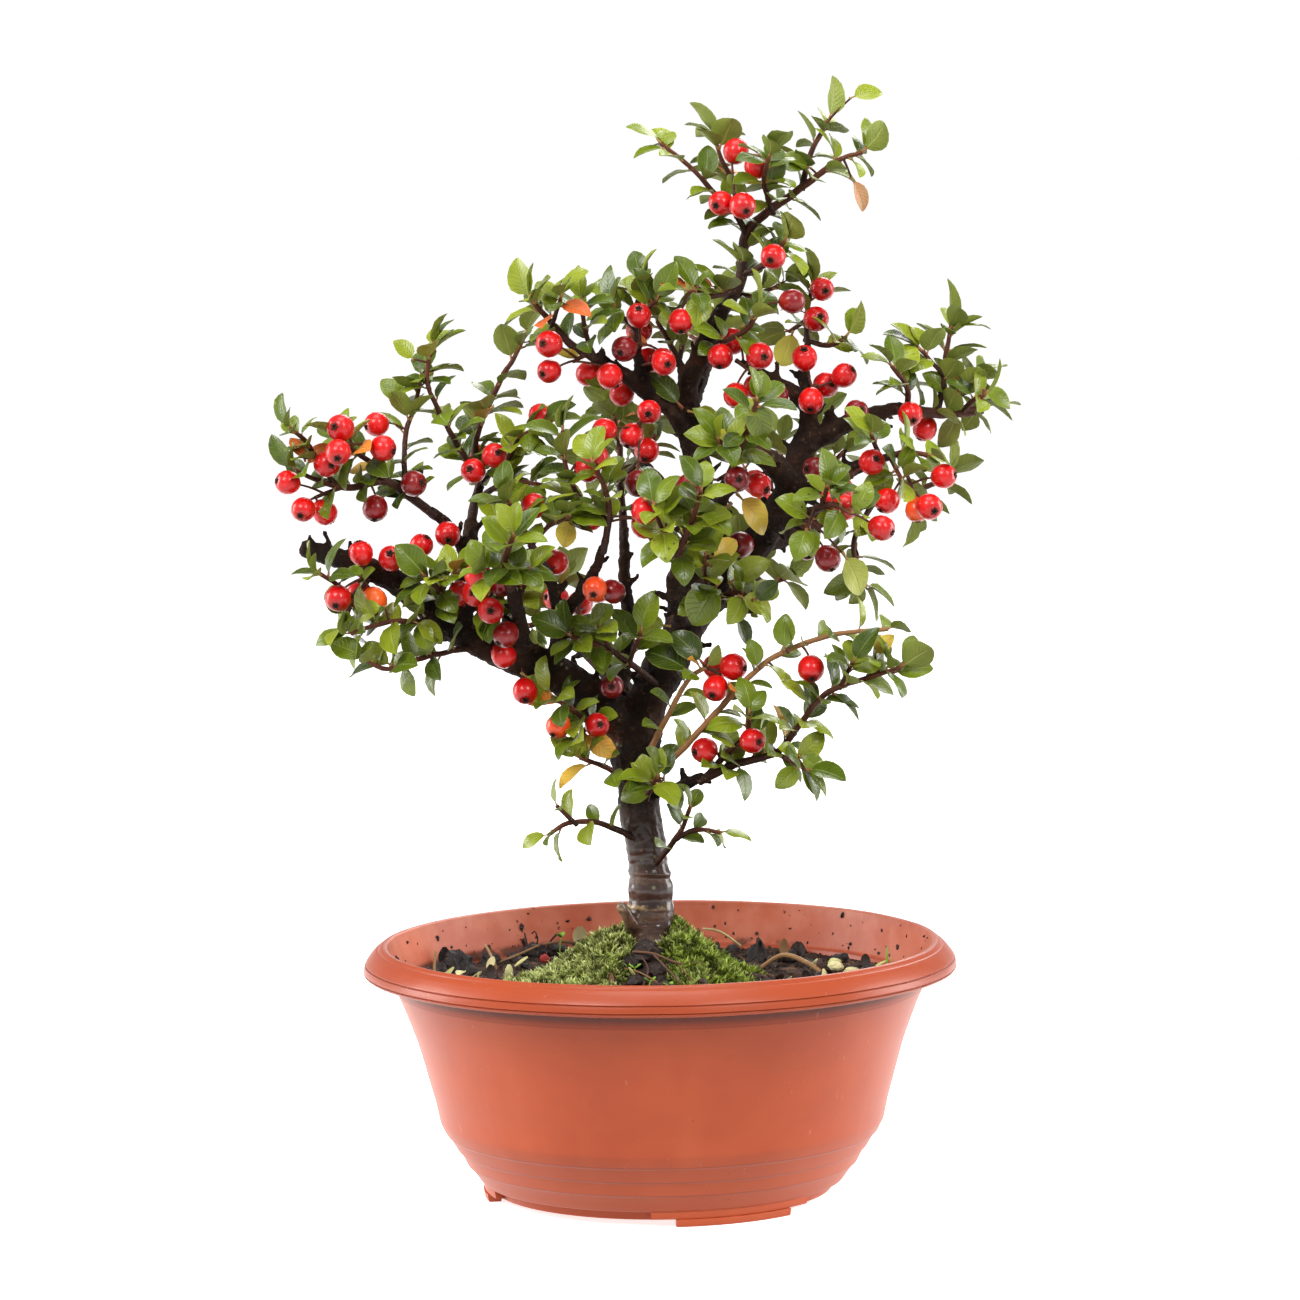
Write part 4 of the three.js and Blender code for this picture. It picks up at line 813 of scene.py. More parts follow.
def soilSurface(x, y):
    # the soil as it shows: the same form with crumbs and hollows in it
    spot = Vector((x, y, 0))
    rough = 1.3 * lumpy(spot, 0.11) + 1.1 * lumpy(spot, 0.26, 5) + 0.5 * lumpy(spot, 0.7, 9)
    away = math.hypot(x, y)
    rim = smoothStep(79, 85.5, away)
    return soilTop(x, y) + soil["roughness"] * rough * (1 - 0.5 * rim) + rim * 0.8 * lumpy(spot, 0.07, 2)


class Tree(Board):
    # a geometry tree with named inputs
    def __init__(self, name, kinds):
        super().__init__(bpy.data.node_groups.new(name, "GeometryNodeTree"))
        kinds = {"Geometry": "Geometry", "Shapes": "Collection", "Finish": "Material", **kinds}
        for socketName, kind in kinds.items():
            self.tree.interface.new_socket(socketName, in_out="INPUT", socket_type=f"NodeSocket{kind}")
        self.tree.interface.new_socket("Geometry", in_out="OUTPUT", socket_type="NodeSocketGeometry")
        self.inputs = self.tree.nodes.new("NodeGroupInput")

    def given(self, socketName):
        return Wire(self, self.inputs.outputs[socketName])

    def stored(self, name, kind="FLOAT"):
        return self.add("GeometryNodeInputNamedAttribute", {"data_type": kind}, {"Name": name},
                        "Attribute")

    def copies(self, points, turn, size, **more):
        # one of the shapes at each point, as real geometry
        shapes = self.add("GeometryNodeCollectionInfo", sockets={
            "Collection": self.given("Shapes"), "Separate Children": True, "Reset Children": True})
        placed = self.add("GeometryNodeInstanceOnPoints", sockets={
            "Points": points, "Instance": shapes, "Pick Instance": True, "Rotation": turn,
            "Scale": size, **more})
        return self.add("GeometryNodeRealizeInstances", sockets={"Geometry": placed})

    def painted(self, geometry, finish="Finish"):
        return self.add("GeometryNodeSetMaterial", sockets={
            "Geometry": geometry, "Material": self.given(finish)})

    def both(self, *parts):
        union = self.tree.nodes.new("GeometryNodeJoinGeometry")
        for part in parts:
            self.tree.links.new(part.socket, union.inputs[0])
        return Wire(self, union.outputs[0])

    def finished(self, result):
        self.tree.links.new(result.socket, self.tree.nodes.new("NodeGroupOutput").inputs[0])
        return self.tree


def scatterTree(name, standing):
    # copies small shapes over the top, each turned its own way, or standing up as the surface does
    board = Tree(name, {"Density": "Float", "Least": "Float", "Most": "Float", "Seed": "Int"})
    given = board.given

    def drawn(kind, least, most):
        return board.add("FunctionNodeRandomValue", {"data_type": kind}, {
            "Min": least, "Max": most, "Seed": given("Seed")}, "Value")
    spread = board.tree.nodes.new("GeometryNodeDistributePointsOnFaces")
    board.feed(spread.inputs["Mesh"], given("Geometry"))
    board.feed(board.pick(spread.inputs, "Density"), given("Density") * board.stored("cover") * 1e6)
    board.feed(board.pick(spread.inputs, "Seed"), given("Seed"))
    size = (drawn("FLOAT", 0.0, 1.0) ** 2.0) * (given("Most") - given("Least")) + given("Least")
    if standing:
        lean = board.add("ShaderNodeMix", {"data_type": "VECTOR"}, {
            "Factor": 0.45, "A": Wire(board, spread.outputs["Normal"]), "B": (0, 0, 1)}, "Result")
        upright = board.add("FunctionNodeAlignRotationToVector", {"axis": "Z"}, {"Vector": lean})
        swirl = drawn("FLOAT_VECTOR", (-0.35, -0.35, 0), (0.35, 0.35, math.tau))
        turn = board.add("FunctionNodeRotateRotation", {"rotation_space": "LOCAL"}, {
            "Rotation": upright, "Rotate By": swirl})
    else:
        turn = drawn("FLOAT_VECTOR", (0, 0, 0), (math.tau, math.tau, math.tau))
    solid = board.copies(Wire(board, spread.outputs["Points"]), turn, size)
    return board.finished(board.painted(board.both(solid, given("Geometry"))))


def useTree(piece, tree, values):
    # sets a tree's named inputs by their identifiers, then makes its result the piece's mesh
    modifier = piece.modifiers.new(tree.name, "NODES")
    modifier.node_group = tree
    for item in tree.interface.items_tree:
        if item.in_out == "INPUT" and item.name in values:
            modifier[item.identifier] = values[item.name]
    return bakeModifiers(piece)


def shapeStore(name, meshes):
    # a collection of small shapes that a tree copies; it is outside the scene
    store = bpy.data.collections.new(name)
    for k, mesh in enumerate(meshes):
        store.objects.link(bpy.data.objects.new(f"{name}{k}", mesh))
    return store


def crumbShapes():
    meshes = []
    for k in range(3):
        body = bmesh.new()
        bmesh.ops.create_icosphere(body, subdivisions=1, radius=mm * 0.6)
        for vertex in body.verts:
            spot = vertex.co / mm
            vertex.co *= 1 + 0.5 * lumpy(spot, 1.4, k * 5 + 1)
            vertex.co.z *= 0.8 - 0.12 * k
        mesh = bpy.data.meshes.new(f"crumb{k}")
        body.to_mesh(mesh)
        body.free()
        mesh.shade_flat()
        meshes.append(mesh)
    return meshes


def makeSoil():
    segments = soil["segments"]
    corners = []
    rings = [(radius, height, False) for radius, height in soil["wall"]]
    radius = soil["wall"][-1][0] - soil["ringStep"]
    while radius > 1.5:
        rings.append((radius, 0, True))
        radius -= soil["ringStep"]
    for radius, height, onTop in rings:
        for k in range(segments):
            turn = k / segments * math.tau
            x, y = radius * math.cos(turn), radius * math.sin(turn)
            corners.append(Vector((x, y, soilSurface(x, y) if onTop else height)))
    mesh = makeMesh("soil_bed", corners, ringFaces(len(rings), segments))
    cover = [1.0 if corner.z > soil["crumbsFrom"] else 0.0 for corner in corners]
    writeValues(mesh, "cover", cover)
    piece = makePiece("soil_bed", mesh)
    useTree(piece, scatterTree("crumbs", False), {
        **soil["crumbs"], "Shapes": shapeStore("crumb", crumbShapes()), "Finish": soilFinish()})
    finishPiece(piece, "soil", "soil")


def soilFinish():
    def build(board):
        large = board.cloud(70, 4)
        small = board.cloud(620, 3)
        earth = board.blend(large.step(0.35, 0.65), (34, 24, 20), (58, 42, 33))
        earth = earth.tint((small.step(0.52, 0.72) * 0.6, 84, 62, 47))
        grains = board.cells(420, output="Color")
        grain = board.parts(grains, "X").step(0.86, 0.9) * 0.7
        earth = earth.tint((grain, 104, 74, 52))
        fibres = board.cloud(500, 2, 0.5, stretch=(1.0, 0.12, 1.0)).step(0.66, 0.7)
        earth = earth.tint((fibres * 0.5, 120, 88, 62))
        return {
            "base": earth,
            "roughness": 0.86 + small * 0.14,
            "normal": board.bump(small * 0.6 + board.cells(560) * 0.6, 0.5),
        }
    return makeFinish("peatSoil", build, specular=0.25)


# Moss: a low horseshoe mound round the trunk, open to the front

moss = {
    "from": -78, "to": 248, "thickness": 18.5, "inner": 0.19, "outer": 1.03, "fullness": [0.5, 0.82, 1.0],
    "slice": 27.17, "sectors": 190, "rows": 34, "under": 3.0, "sink": 1.6, "endSink": 2.4,
    "tufts": {"Seed": 11, "Density": 1.28, "Least": 0.5, "Most": 1.7},
    "bladeHeight": 2.6, "bladeWidth": 0.27, "blades": 8,
}


def mossReach(degrees):
    front = math.exp(-(((degrees + 62) / 34) ** 2)) + 1.5 * math.exp(-(((degrees - 232) / 40) ** 2))
    back = 9 * math.exp(-(((degrees - 180) / 30) ** 2))
    return 33 + 20 * front + back + 2.5 * math.sin(degrees * 0.16)


def mossTop(x, y, share, degrees):
    # fullest round the back of the trunk, and lower towards its two ends at the front
    place = min(degrees - moss["from"], moss["to"] - degrees) / moss["slice"]
    low, middle, high = moss["fullness"]
    fullness = low + (middle - low) * clamp(place) + (high - middle) * clamp(place - 1)
    ripple = 0.7 * math.sin(x * 0.5) * math.sin(y * 0.43 + 1)
    return soilTop(x, y) + moss["thickness"] * fullness * (1 - share) + ripple - 1.2 * share


def makeMoss():
    footX, footY = soil["trunkFoot"]
    rows, sectors = moss["rows"], moss["sectors"]
    top = []
    cover = []
    for k in range(sectors + 1):
        degrees = moss["from"] + (moss["to"] - moss["from"]) * k / sectors
        ends = min(k, sectors - k) / 10
        for j in range(rows + 1):
            share = moss["inner"] + (moss["outer"] - moss["inner"]) * j / rows
            turn = math.radians(degrees)
            ragged = 1 + 0.05 * lumpy((degrees, 0, 0), 0.11, 4) * share
            x = footX + math.cos(turn) * mossReach(degrees) * share * ragged
            y = footY + math.sin(turn) * mossReach(degrees) * share * ragged
            spot = Vector((x, y, 0))
            cushions = 2.0 * lumpy(spot, 0.12, 1) + 1.5 * lumpy(spot, 0.27, 6) + 0.6 * lumpy(spot, 0.7, 2)
            height = mossTop(x, y, share, degrees) + cushions * (1 - share ** 4)
            height = height - moss["endSink"] * (1 - clamp(ends)) - moss["sink"]
            top.append(Vector((x, y, max(height, soilTop(x, y) - 0.4))))
            cover.append(1.0 if clamp(ends) > 0.3 else 0.5)
    bottom = [Vector((p.x, p.y, soilTop(p.x, p.y) - moss["under"])) for p in top]
    mesh = makeMesh("moss_mound", top + bottom, slabFaces(sectors, rows + 1))
    mesh.validate()
    body = bmesh.new()
    body.from_mesh(mesh)
    bmesh.ops.recalc_face_normals(body, faces=body.faces)
    body.to_mesh(mesh)
    body.free()
    writeValues(mesh, "cover", cover + [0.0] * len(bottom))
    writeValues(mesh, "tip", [0.0] * len(top + bottom))
    piece = makePiece("moss_mound", mesh)
    useTree(piece, scatterTree("tufts", True), {
        **moss["tufts"], "Shapes": shapeStore("tuft", tuftShapes()), "Finish": mossFinish()})
    finishPiece(piece, "moss", "moss")


def tuftShapes():
    # small stars of pointed leaflets round a short stem, in three forms
    meshes = []
    for k in range(3):
        corners = []
        faces = []
        tips = []
        blades = moss["blades"]
        for j in range(blades):
            turn = (j / blades + 0.35 * chance(k, j, 1, 1)) * math.tau
            lean = 0.25 + 0.75 * chance(k, j, 2, 1) + 0.15 * k
            length = moss["bladeHeight"] * (0.7 + 0.5 * chance(k, j, 3, 1)) * (1 - 0.12 * k)
            out = Vector((math.cos(turn), math.sin(turn), 0))
            side = Vector((-out.y, out.x, 0)) * moss["bladeWidth"]
            root = out * 0.15 - upward * 0.5
            bend = root + (out * math.sin(lean * 0.5) + upward * math.cos(lean * 0.5)) * length * 0.55
            tip = bend + (out * math.sin(lean) + upward * math.cos(lean)) * length * 0.5
            start = len(corners)
            corners.extend([root, bend + side, tip, bend - side])
            faces.extend([[start, start + 1, start + 2, start + 3]])
            tips.extend([0.0, 0.55, 1.0, 0.55])
        mesh = makeMesh(f"tuft{k}", corners, faces, False)
        writeValues(mesh, "tip", tips)
        meshes.append(mesh)
    return meshes


def mossFinish():
    def build(board):
        tip = board.attribute("tip")
        across = board.parts(board.places(), "X")
        patch = board.cloud(95, 3)
        vivid = (across * 9 + patch * 1.1).step(0.25, 0.75)
        clump = board.cloud(300, 3).step(0.4, 0.6)
        deep = board.blend(patch.step(0.35, 0.65), (22, 22, 6), (42, 46, 10))
        young = board.blend(vivid, (196, 208, 106), (160, 188, 42))
        green = board.blend(tip.step(0.1, 1.0) * (0.25 + clump * 0.75), deep, young)
        dry = board.cloud(240, 2).step(0.6, 0.72) * 0.6
        green = board.blend(dry, green, board.blend(tip, (70, 52, 26), (172, 156, 92)))
        white = tip.step(0.6, 1.0) * (1 - vivid * 0.6) * clump * 0.8
        green = green.tint((white, 222, 226, 176))
        return {"base": green, "roughness": 0.6 + patch * 0.2}
    return makeFinish("feathermoss", build, specular=0.25)


# What leaves and berries keep clear of: balls drawn out along segments


class Crowd:
    def __init__(self):
        self.rows = []
        self.table = None

    def add(self, start, end, radius):
        self.rows.append([*start, *end, radius])
        self.table = None

    def addLine(self, points, radii):
        for k in range(len(points) - 1):
            self.add(points[k], points[k + 1], max(radii[k], radii[k + 1]))

    def nearest(self, point):
        # the gap to the nearest member, that member's row and the nearest point on its middle line
        if self.table is None:
            self.table = np.array(self.rows)
        start, end, radius = self.table[:, 0:3], self.table[:, 3:6], self.table[:, 6]
        span = end - start
        reach = np.maximum((span ** 2).sum(1), 1e-12)
        share = np.clip(((np.array(point) - start) * span).sum(1) / reach, 0, 1)
        spots = start + span * share[:, None]
        gaps = np.sqrt(((np.array(point) - spots) ** 2).sum(1)) - radius
        k = int(gaps.argmin())
        return float(gaps[k]), k, Vector(spots[k])

    def gap(self, point):
        return self.nearest(point)[0]


crowd = Crowd()
twigCrowd = Crowd()  # wood and twigs alone: what a stalk can grow from
twigOwners = []
for line in boughs.values():
    points, radii = [placed(spot) for spot in line], [spot[3] for spot in line]
    crowd.addLine(points, radii)
    twigCrowd.addLine(points, radii)
    twigOwners.extend([None] * (len(points) - 1))
for shootName, lines in shoots.items():
    for line in lines:
        points, radii = [placed(spot) for spot in line], [spot[3] for spot in line]
        crowd.addLine(points, radii)
        twigCrowd.addLine(points, radii)
        twigOwners.extend([shootName] * (len(points) - 1))


# Trunk and boughs: one skin drawn over all the wood

wood = {
    "sides": 14, "step": 2.0, "voxel": 0.78, "smoothing": 2,
    "wobble": 0.09, "knots": 0.16, "slimness": {"trunk": 1.0, "rootStub": 0.56}, "slim": 0.94,
    "spurEvery": 6.5, "spurLength": (2.4, 5.2), "spurRadius": (0.85, 1.35),
    "roughFrom": 108.0, "roughTo": 150.0, "roughHeight": 0.62, "smoothHeight": 0.22,
    "scars": [(109.0, 0.45), (97.8, 0.3), (113.8, 0.3), (119.9, 0.3), (91.5, 0.25), (126.5, 0.25)],
    "bareBoughs": ["trunk", "rootStub"],
}


def boughLine(name, line):
    # a bough's own unevenness: it swells at its knots and wanders a little
    points, radii = [placed(spot) for spot in line], [spot[3] for spot in line]
    rows = smoothLine(points, radii, wood["step"])
    uneven = []
    for k, (point, radius) in enumerate(rows):
        ends = min(k, len(rows) - 1 - k, 3) / 3
        wobble, knots = wood["wobble"] * lumpy(point, 0.16, 2), wood["knots"] * max(0, lumpy(point, 0.3, 8))
        swell = 1 + ends * (wobble + knots)
        drift = Vector((lumpy(point, 0.11, 3), lumpy(point, 0.11, 13), lumpy(point, 0.11, 23)))
        slim = wood["slimness"].get(name, wood["slim"])
        uneven.append((point + drift * ends * 0.12 * radius, radius * swell * slim))
    return uneven


def spurs(number, rows):
    # short stubs of old leafy spurs stand all round the boughs
    parts = []
    distance = 3.0
    travelled = 0.0
    for k in range(len(rows) - 1):
        point, radius = rows[k]
        ahead = rows[k + 1][0]
        travelled += (ahead - point).length
        if travelled < distance:
            continue
        count = len(parts) + 1
        distance += wood["spurEvery"] * (0.5 + chance(number, count, 1, 5))
        along = (ahead - point).normalized()
        side = along.orthogonal().normalized()
        turn = chance(number, count, 2, 5) * math.tau
        out = side * math.cos(turn) + along.cross(side) * math.sin(turn)
        out = (out + along * 0.45 * (chance(number, count, 3, 5) - 0.2) + upward * 0.25).normalized()
        short, long = wood["spurLength"]
        length = radius + short + (long - short) * chance(number, count, 4, 5)
        thin, thick = wood["spurRadius"]
        width = thin + (thick - thin) * chance(number, count, 6, 5)
        bend = point + out * length * 0.6 + upward * 0.3
        tip = point + (out * 0.93 + along * 0.2).normalized() * length
        parts.append(tubeBody([(point, width * 1.3), (bend, width), (tip, width * 0.8)], 8))
    return parts


def barkHeight(point):
    rough = smoothStep(wood["roughFrom"], wood["roughTo"], point.z)
    ridges = 1 - abs(lumpy(point, 0.33, 4)) * 2.2
    plates = lumpy(point, 0.62, 9)
    grain = lumpy(point, 1.3, 15)
    height = rough * wood["roughHeight"] * (0.5 * ridges + 0.45 * plates + 0.3 * grain - 0.35)
    stretched = Vector((point.x, point.y, point.z * 0.35))
    bands = lumpy(Vector((point.x * 0.3, point.y * 0.3, point.z)), 0.42, 17)
    low = 0.7 * lumpy(stretched, 0.3, 6) + 0.35 * bands + 0.35 * grain
    height += (1 - rough) * wood["smoothHeight"] * low
    if rough < 1:
        for level, rise in wood["scars"]:
            tilt = 0.9 * lumpy((point.x, point.y, level), 0.08, 3)
            part = smoothStep(-0.55, 0.15, lumpy((point.x, point.y, level * 3), 0.1, 5))
            height += (1 - rough) * rise * part * math.exp(-(((point.z - level - tilt) / 0.75) ** 2))
            groove = math.exp(-(((point.z - level - tilt + 1.7) / 0.7) ** 2))
            height -= (1 - rough) * rise * 0.5 * part * groove
    return height


def makeTrunk():
    parts = []
    for number, (name, line) in enumerate(boughs.items()):
        rows = boughLine(name, line)
        parts.append(tubeBody(rows, wood["sides"]))
        if name not in wood["bareBoughs"]:
            parts.extend(spurs(number, rows))
    mesh = makeMesh("trunk_wood", *joined(parts))
    piece = makePiece("trunk_wood", mesh)
    remesh = piece.modifiers.new("skin", "REMESH")
    remesh.mode = "VOXEL"
    remesh.voxel_size = wood["voxel"] * mm
    soften = piece.modifiers.new("soften", "SMOOTH")
    soften.factor = 0.5
    soften.iterations = wood["smoothing"]
    bakeModifiers(piece)
    mesh = piece.data
    count = len(mesh.vertices)
    spots = np.zeros(count * 3, np.float32)
    normals = np.zeros(count * 3, np.float32)
    mesh.vertices.foreach_get("co", spots)
    mesh.vertex_normals.foreach_get("vector", normals)
    spots = spots.reshape(-1, 3)
    normals = normals.reshape(-1, 3)
    heights = [barkHeight(Vector(spot / mm)) for spot in spots]
    spots = spots + normals * (np.array(heights) * mm)[:, None]
    mesh.vertices.foreach_set("co", spots.astype(np.float32).ravel())
    mesh.shade_smooth()
    mesh.update()
    writeValues(mesh, "relief", heights)
    mesh.materials.clear()
    mesh.materials.append(barkFinish())
    finishPiece(piece, "bark", "trunk_and_boughs")


def barkFinish():
    def build(board):
        spot = board.places()
        height = board.parts(spot, "Z")
        relief = board.attribute("relief")
        upper = (height + board.cloud(40, 2) * 0.02).step(0.116, 0.15)
        large = board.cloud(75, 4)
        fine = board.cloud(520, 4, 0.65)
        bands = board.cloud(120, 3, 0.6, stretch=(0.3, 0.3, 1.4))
        old = board.blend(large.step(0.35, 0.68), (19, 11, 7), (46, 29, 19))
        old = old.tint(
            (relief.step(0.05, 0.5) * 0.5, 86, 58, 39), (fine.step(0.56, 0.74) * 0.4, 112, 82, 56))
        young = board.blend(large.step(0.3, 0.7), (34, 19, 13), (68, 45, 33))
        young = young.tint(
            (bands.step(0.5, 0.72) * 0.4, 106, 78, 59), (fine.step(0.5, 0.7) * 0.5, 32, 18, 12))
        bark = board.blend(upper, young, old)
        # paler grey low on the trunk: partly grey bark, partly a painted sheen
        greyAndSheen = (board.cloud(80, 4, 0.65) + (0.093 - height) * 14).step(0.55, 0.85) * (1 - upper) * 0.4
        bark = bark.tint((greyAndSheen, 156, 136, 116))
        across = board.parts(spot, "X")
        stub = across.step(-0.0102, -0.0124) * height.step(0.105, 0.101)
        bark = bark.tint((stub * 0.35, 158, 134, 110))
        ring = abs(height - 0.0978 - (bands - 0.5) * 0.003).step(0.0013, 0.0002) * large.step(0.35, 0.55)
        bark = bark.tint((ring * 0.7, 176, 146, 96))
        lenticels = board.cells(290).step(0.17, 0.09) * board.cloud(70, 2).step(0.5, 0.58) * (1 - upper)
        bark = bark.tint((lenticels * 0.7, 128, 50, 32))
        rust = board.cloud(38, 3).step(0.6, 0.7) * upper * 0.45
        bark = bark.tint((rust, 104, 58, 38))
        lichen = board.cells(230).step(0.2, 0.1) * board.cloud(52, 3).step(0.55, 0.63)
        bark = bark.tint((lichen * 0.4, 150, 158, 122))
        relief = fine * 0.7 + board.cells(700) * 0.4 + bands * 0.4
        return {
            "base": bark,
            "roughness": 0.5 + upper * 0.2 + fine * 0.24,
            "coat": (1 - upper) * 0.7,
            "normal": board.bump(relief, 0.5),
        }
    return makeFinish("oldBark", build, specular=0.14, coatRoughness=0.16)


# Leaves

leaf = {
    "length": 11.6, "lengthSpread": 3.4,
    "spacing": 4.9, "tipSpots": [0.3, 2.6, 5], "bend": 0.75, "clearance": 1, "tries": 4, "atMost": 60,
    "bareStem": 6, "bareTwig": 4.5, "turnPerLeaf": 137.5, "turnPerTry": 80, "turnPerTwig": 50,
    "turnSpread": 60, "tipLean": (10, 8), "sideLean": (44, 24), "lift": 0.22,
    "faceUp": 0.75, "faceTip": 0.35, "faceOutward": 0.55, "faceTwig": 0.2, "clearShares": [0.4, 0.7, 1],
    "companionChances": (0.66, 0.26), "companionTurns": [74, 151, -96, -38, 112, 15], "companionRoom": 0.2,
    "companionSize": (0.68, 1.02), "companionLift": 0.6,
    "sparse": ["lowest_left_twig", "low_right_twig", "thin_twig", "tan_twig"],
    "sparseSize": 0.82, "fullness": 1.06,
}


def pointOnLine(points, distance):
    left = distance
    for k in range(len(points) - 1):
        span = points[k + 1] - points[k]
        length = span.length
        if left <= length or k == len(points) - 2:
            along = span / length
            return points[k] + along * min(left, length), along
        left -= length
    return None


def aimedLeaf(spot, along, turn, lean, length, lift=0.0):
    # a leaf that leaves its twig at an angle, and turns its face up and away from the trunk
    side = along.cross(upward)
    if side.length < 0.1:
        side = Vector((1, 0, 0))
    side.normalize()
    other = side.cross(along)
    out = side * math.cos(turn) + other * math.sin(turn)
    aim = (along * math.cos(lean) + out * math.sin(lean) + upward * (leaf["lift"] + lift)).normalized()
    outward = Vector((spot.x, spot.y, 0)).normalized()
    face = upward * leaf["faceUp"] + along * leaf["faceTip"] + outward * leaf["faceOutward"]
    face = face - out * leaf["faceTwig"]
    face = (face - aim * face.dot(aim)).normalized()
    return {"base": spot.copy(), "along": aim, "face": face, "length": length}


def midrib(one, share):
    bend = leaf["bend"]
    bent = bend * share
    return (one["base"] + one["along"] * one["length"] * math.sin(bent) / bend
            - one["face"] * one["length"] * (1 - math.cos(bent)) / bend)


def leavesOf(points, shootNumber, twigNumber, sparse):
    # the leaves of one twig, from its tip back: one ends it, and the rest turn round it
    length = sum((b - a).length for a, b in zip(points, points[1:]))
    lowest = leaf["bareStem"] if twigNumber == 0 else leaf["bareTwig"]
    found = []
    for k in range(leaf["atMost"]):
        distance = length - leaf["tipSpots"][min(k, 2)] - max(0, k - 2) * leaf["spacing"]
        if distance < lowest and k > 0:
            break
        spot, along = pointOnLine(points, distance)
        draws = [chance(shootNumber + 1, twigNumber + 1, k + 1, n) for n in range(12)]
        size = leaf["length"] + leaf["lengthSpread"] * draws[3]
        least, spread = leaf["tipLean"] if k == 0 else leaf["sideLean"]
        lean = math.radians(least + spread * draws[2])
        firstTurn = k * leaf["turnPerLeaf"] + leaf["turnSpread"] * draws[1] + twigNumber * leaf["turnPerTwig"]
        for attempt in range(leaf["tries"]):
            turn = math.radians(firstTurn + attempt * leaf["turnPerTry"])
            one = aimedLeaf(spot, along, turn, lean, size)
            if all(crowd.gap(midrib(one, share)) > leaf["clearance"] for share in leaf["clearShares"]):
                found.append({**one, "draws": draws})
                break
        wanted = sum(draws[n] < share for n, share in zip((4, 11), leaf["companionChances"]))
        if sparse:
            wanted = 0
        for number, extraTurn in enumerate(leaf["companionTurns"]):  # a rosette holds more leaves than one
            if wanted == 0:
                break
            small, large = leaf["companionSize"]
            share = small + (large - small) * draws[5 + number % 3]
            turn = math.radians(firstTurn + extraTurn)
            widerLean = math.radians(least + spread * draws[6] + 14 + 7 * number)
            one = aimedLeaf(spot, along, turn, widerLean, size * share, leaf["companionLift"] * draws[8])
            middle = midrib(one, 0.6)
            clear = all(crowd.gap(midrib(one, s)) > leaf["clearance"] * 0.6 for s in leaf["clearShares"])
            near = min([(middle - midrib(other, 0.6)).length for other in found] or [99])
            if clear and near > leaf["companionRoom"] * size:
                mixed = [chance(shootNumber + 9, twigNumber + 3, k + 1.5 * number, n) for n in range(12)]
                found.append({**one, "draws": mixed})
                wanted -= 1
    return found


# Leaves that show by themselves: base across, up, tip across, up, depth, shape and tone

pickedLeaves = [
    (22, 207, 12, 194, -34, "round", "plain"), (26, 233, 15, 224, -36, "round", "plain"),
    (1, 139, -12, 136, -14, "round", "plain"), (2, 140, 4, 151, -16, "narrow", "dark"),
    (1, 140, 9, 132, -18, "oval", "plain"), (12, 176, -1, 186, -30, "oval", "dark"),
    (28, 236, 39, 225, -36, "oval", "yellow"), (19, 215, 11, 227, -32, "narrow", "yellow"),
    (19, 212, 7, 217, -33, "oval", "bright"), (19, 214, 27, 221, -34, "oval", "yellow"),
    (25, 206, 36, 215, -28, "oval", "bright"), (28, 202, 39, 198, -28, "oval", "pale"),
    (27, 196, 35, 199, -26, "narrow", "dark"), (27, 196, 32, 187, -26, "narrow", "dark"),
    (-27, 229, -31, 220, -38, "round", "yellow"), (12, 264, 24, 261, -20, "oval", "bright"),
    (34, 268, 37, 255, -34, "oval", "plain"), (10, 265, 1, 277, -20, "narrow", "dark"),
    (31, 244, 25, 257, -30, "oval", "dark"), (-3, 235, 11, 229, -40, "oval", "bright"),
    (-7, 229, 8, 222, -42, "oval", "pale"), (-31, 184, -18, 192, -30, "oval", "plain"),
    (5, 192, -8, 194, -28, "oval", "bright"), (16, 179, 8, 190, -26, "oval", "dark"),
    (-45, 177, -35, 168, -30, "oval", "bright"), (43, 183, 43, 194, -36, "oval", "plain"),
    (34, 177, 33, 186, -32, "oval", "plain"), (40, 177, 46, 171, -34, "narrow", "pale"),
    (-90, 200, -102, 198, -38, "oval", "bright"), (-81, 195, -71, 190, -36, "oval", "bright"),
    (-83, 266, -88, 277, -26, "oval", "plain"), (-79, 282, -84, 289, -14, "round", "bright"),
    (-9, 305, -19, 307, -8, "oval", "plain"), (67, 367, 77, 371, 6, "oval", "bright"),
    (67, 341, 73, 331, 0, "narrow", "tan"), (54, 344, 44, 348, -10, "round", "plain"),
    (110, 270, 120, 266, 8, "oval", "plain"), (99, 268, 93, 276, 2, "oval", "plain"),
    (103, 266, 105, 276, 4, "oval", "dark"), (47, 147, 57, 136, -40, "oval", "bright"),
    (47, 148, 57, 143, -38, "oval", "plain"), (63, 216, 71, 203, -38, "oval", "pale"),
    (73, 181, 78, 188, -42, "oval", "yellow"), (79, 175, 91, 179, -44, "oval", "plain"),
    (-20, 155, -31, 152, -16, "oval", "bright"), (-116, 249, -120, 257, -28, "narrow", "orange"),
    (-116, 247, -110, 255, -28, "narrow", "orange"), (22, 305, 13, 308, -10, "narrow", "orange"),
    (0, 286, -8, 289, -24, "oval", "orange"), (-23, 282, -30, 285, -18, "narrow", "yellow"),
    (-16, 271, -21, 277, -20, "oval", "plain"),
]
pickedShapes = {"oval": 0, "narrow": 1, "round": 3}
pickedTones = {  # greenness, then age
    "plain": (0.5, 0.0), "dark": (0.12, 0.0), "bright": (0.8, 0.0), "pale": (0.95, 0.08),
    "yellow": (0.95, 0.42), "orange": (0.6, 0.75), "tan": (0.5, 0.98),
}
depthTries = [0, -3, 3, -6, 6, -9, 9, -12, 12, -15, 15, -18, 18, -22, 22]


